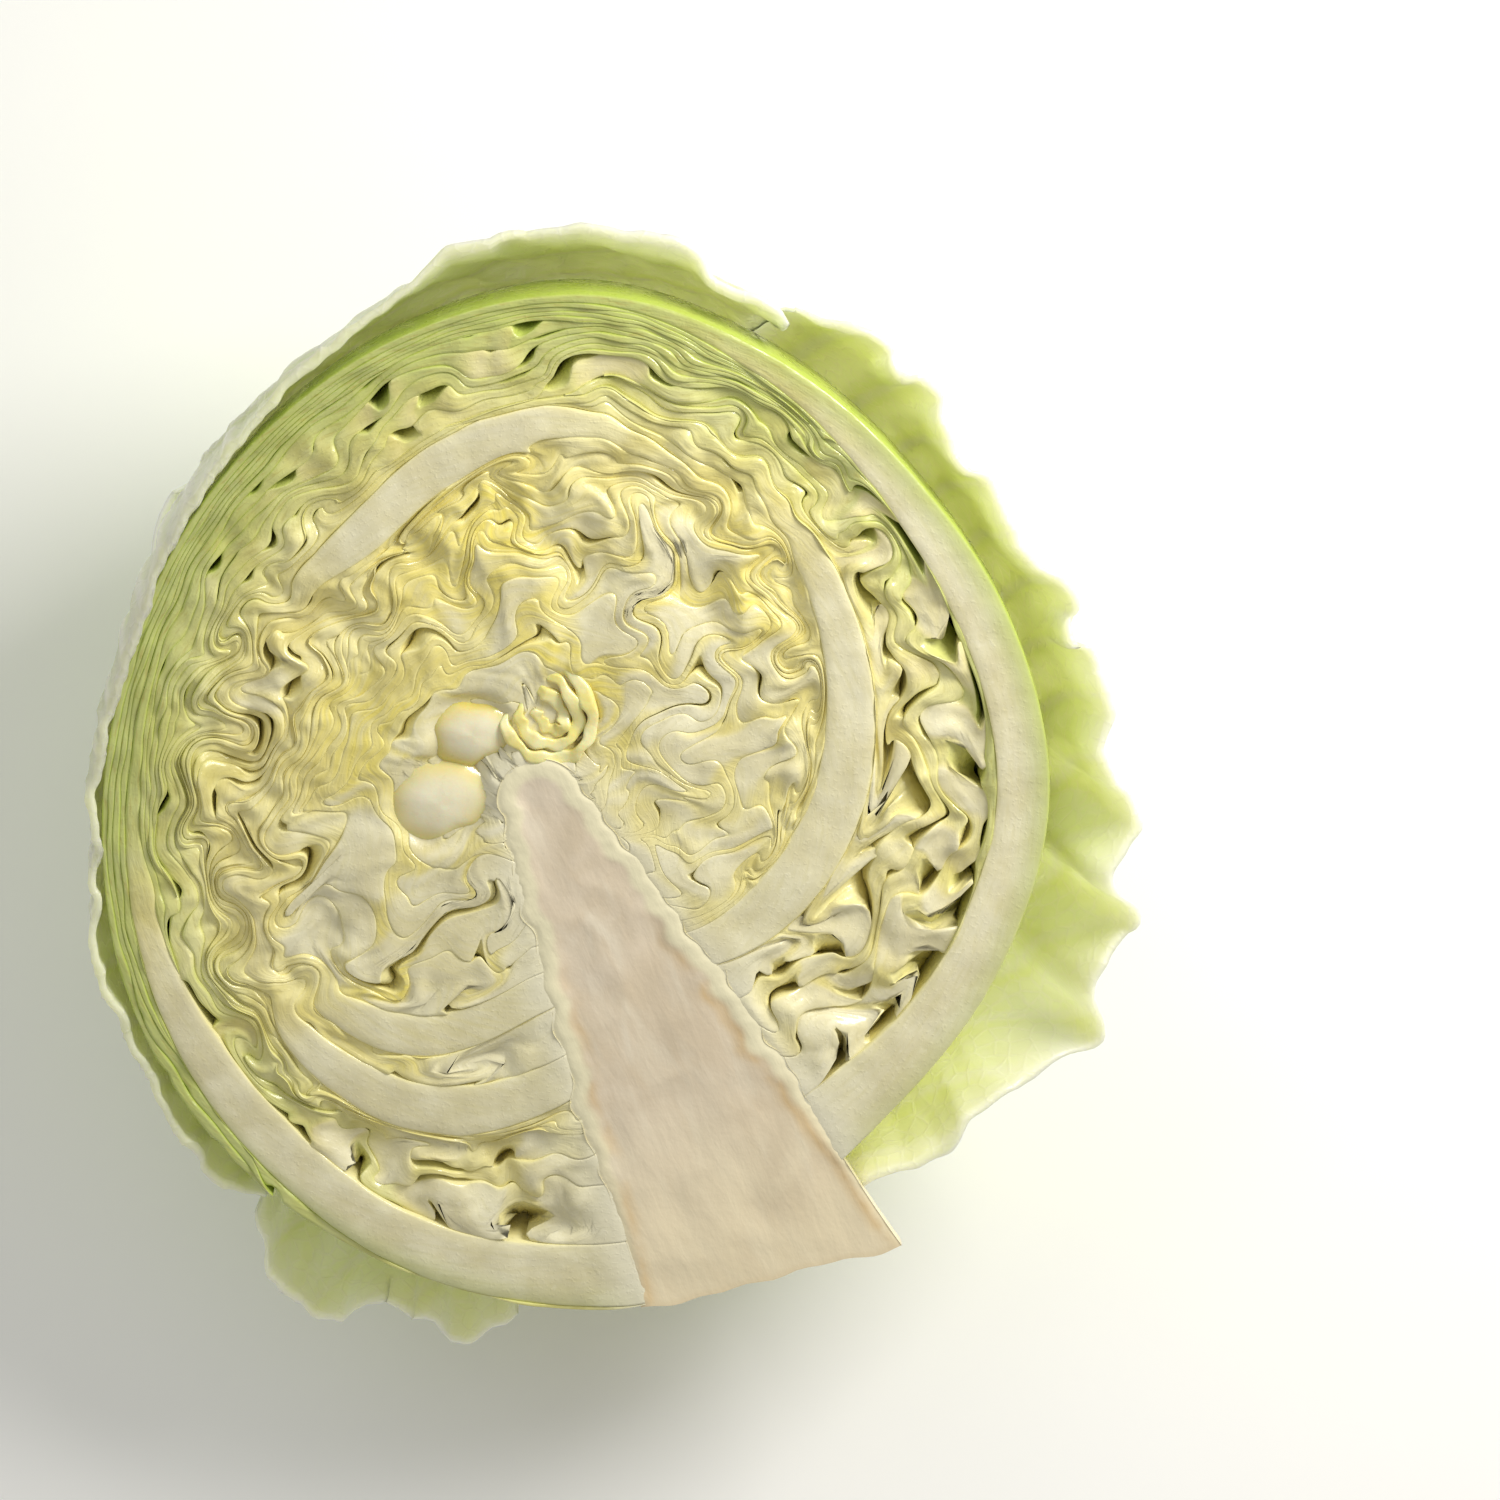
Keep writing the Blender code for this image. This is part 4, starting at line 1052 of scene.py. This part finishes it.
left_leaf = loose_leaf(
    "left_wrapper_leaf", LEFT_WRAPPER_RIM, level=0.3, bulge=2.0, deepest=58, midrib=150,
    lip=[(129, 3.0), (150, 5.0), (175, 2.2), (190, 0.6), (303, 0.9)],
    crimps=[(129, 180, 1.6, 14), (235, 303, 1.5, 11)], thickness=1.3, seed=21,
)
right_leaf = loose_leaf(
    "right_wrapper_leaf", RIGHT_WRAPPER_RIM, level=2.8, bulge=0.0, deepest=58, midrib=35,
    lip=[(15, 2.5), (60, 4.0), (90, 3.2), (129, 2.2)],
    crimps=[(17, 60, 3.0, 13), (54, 129, 2.4, 11)], thickness=1.5, seed=22,
)
torn = loose_leaf(
    "torn_leaf_tatters", TORN_LEAF_RIM, level=2.8, bulge=0.0, deepest=38, midrib=120,
    lip=[(303, 2.0), (333, 3.0)], crimps=[(303, 333, 2.6, 11)], thickness=1.2, seed=23, ragged=0.9,
)
for piece, node in ((left_leaf, "left_wrapper"), (right_leaf, "right_wrapper"), (torn, "torn_leaf")):
    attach(piece, "root")
    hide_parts(node)


# The half lies on its biggest outer leaf. The leaf's thick midrib runs from the stalk under the head
# to the crown, and its margins stand off a little and ripple.

UNDER_LEAF_HALF_WIDTH = [(16, 12), (30, 26), (50, 42), (90, 60), (125, 50), (144, 28)]
UNDER_LEAF_RIB = [(16, 5), (30, 3.5), (48, 0), (92, 0), (105, 1.2), (144, 0.6)]
UNDER_LEAF_OUTSIDE = 6.0  # millimetres from the tight head
LOWEST = PRESSED_DEPTH + 7.2  # nothing of the leaf goes further down than this from the core's tip

rib_along, rib_share = np.meshgrid(np.linspace(16, 144, 150), np.linspace(-1, 1, 101), indexing="ij")
scallop = 1 + 0.04 * np.sin(np.radians(rib_along * 11)) + 0.02 * np.sin(np.radians(rib_along * 29))
lateral = np.radians(rib_share * smooth_through(UNDER_LEAF_HALF_WIDTH, rib_along) * scallop)
turn = np.radians(rib_along)
rib_line = np.cos(turn)[..., None] * stem + np.sin(turn)[..., None] * under
way = np.cos(lateral)[..., None] * rib_line + np.sin(lateral)[..., None] * beside
station = np.degrees(np.arctan2(way[..., 1], way[..., 0])) + 90 - STEM_LEAN
depth = np.degrees(np.arcsin(np.clip(-way[..., 2], -1, 1)))
margin = np.clip((np.abs(rib_share) - 0.6) / 0.4, 0, 1) ** 2
lift = 2.5 * margin * (1 + 0.8 * np.sin(np.radians(rib_along * 9) + 2 * np.sign(rib_share)))
lift = lift + 1.2 * margin**2 * np.sin(np.radians(rib_along * 31))
_, branch = veins(way, 90, 31)
rib = np.exp(-((lateral * AWAY / np.clip(8 - 0.05 * rib_along, 1.5, 8)) ** 2))
surface = head_radius(station, depth, UNDER_LEAF_OUTSIDE) + lift
raised = 0.9 + smooth_through(UNDER_LEAF_RIB, rib_along) * rib + 0.25 * rib + 0.5 * branch * (1 - margin)
ring = over_rim(way * (surface + raised)[..., None], way * surface[..., None])
ring = ring - np.maximum(ring @ DOWNWARD - LOWEST, 0)[..., None] * DOWNWARD
vein = np.maximum(rib, branch)
pale = ease((60 - rib_along) / 50)
under_piece = add_mesh("under_leaf_blade", ring, ring_faces(ring), wrapper_finish, {
    "vein": over_rim(vein, vein),
    "edge": over_rim(margin**8, margin**8),
    "inside": over_rim(0 * margin, 0 * margin + 1),
    "pale": over_rim(pale, pale),
})
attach(under_piece, "root")
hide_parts("under_leaf")
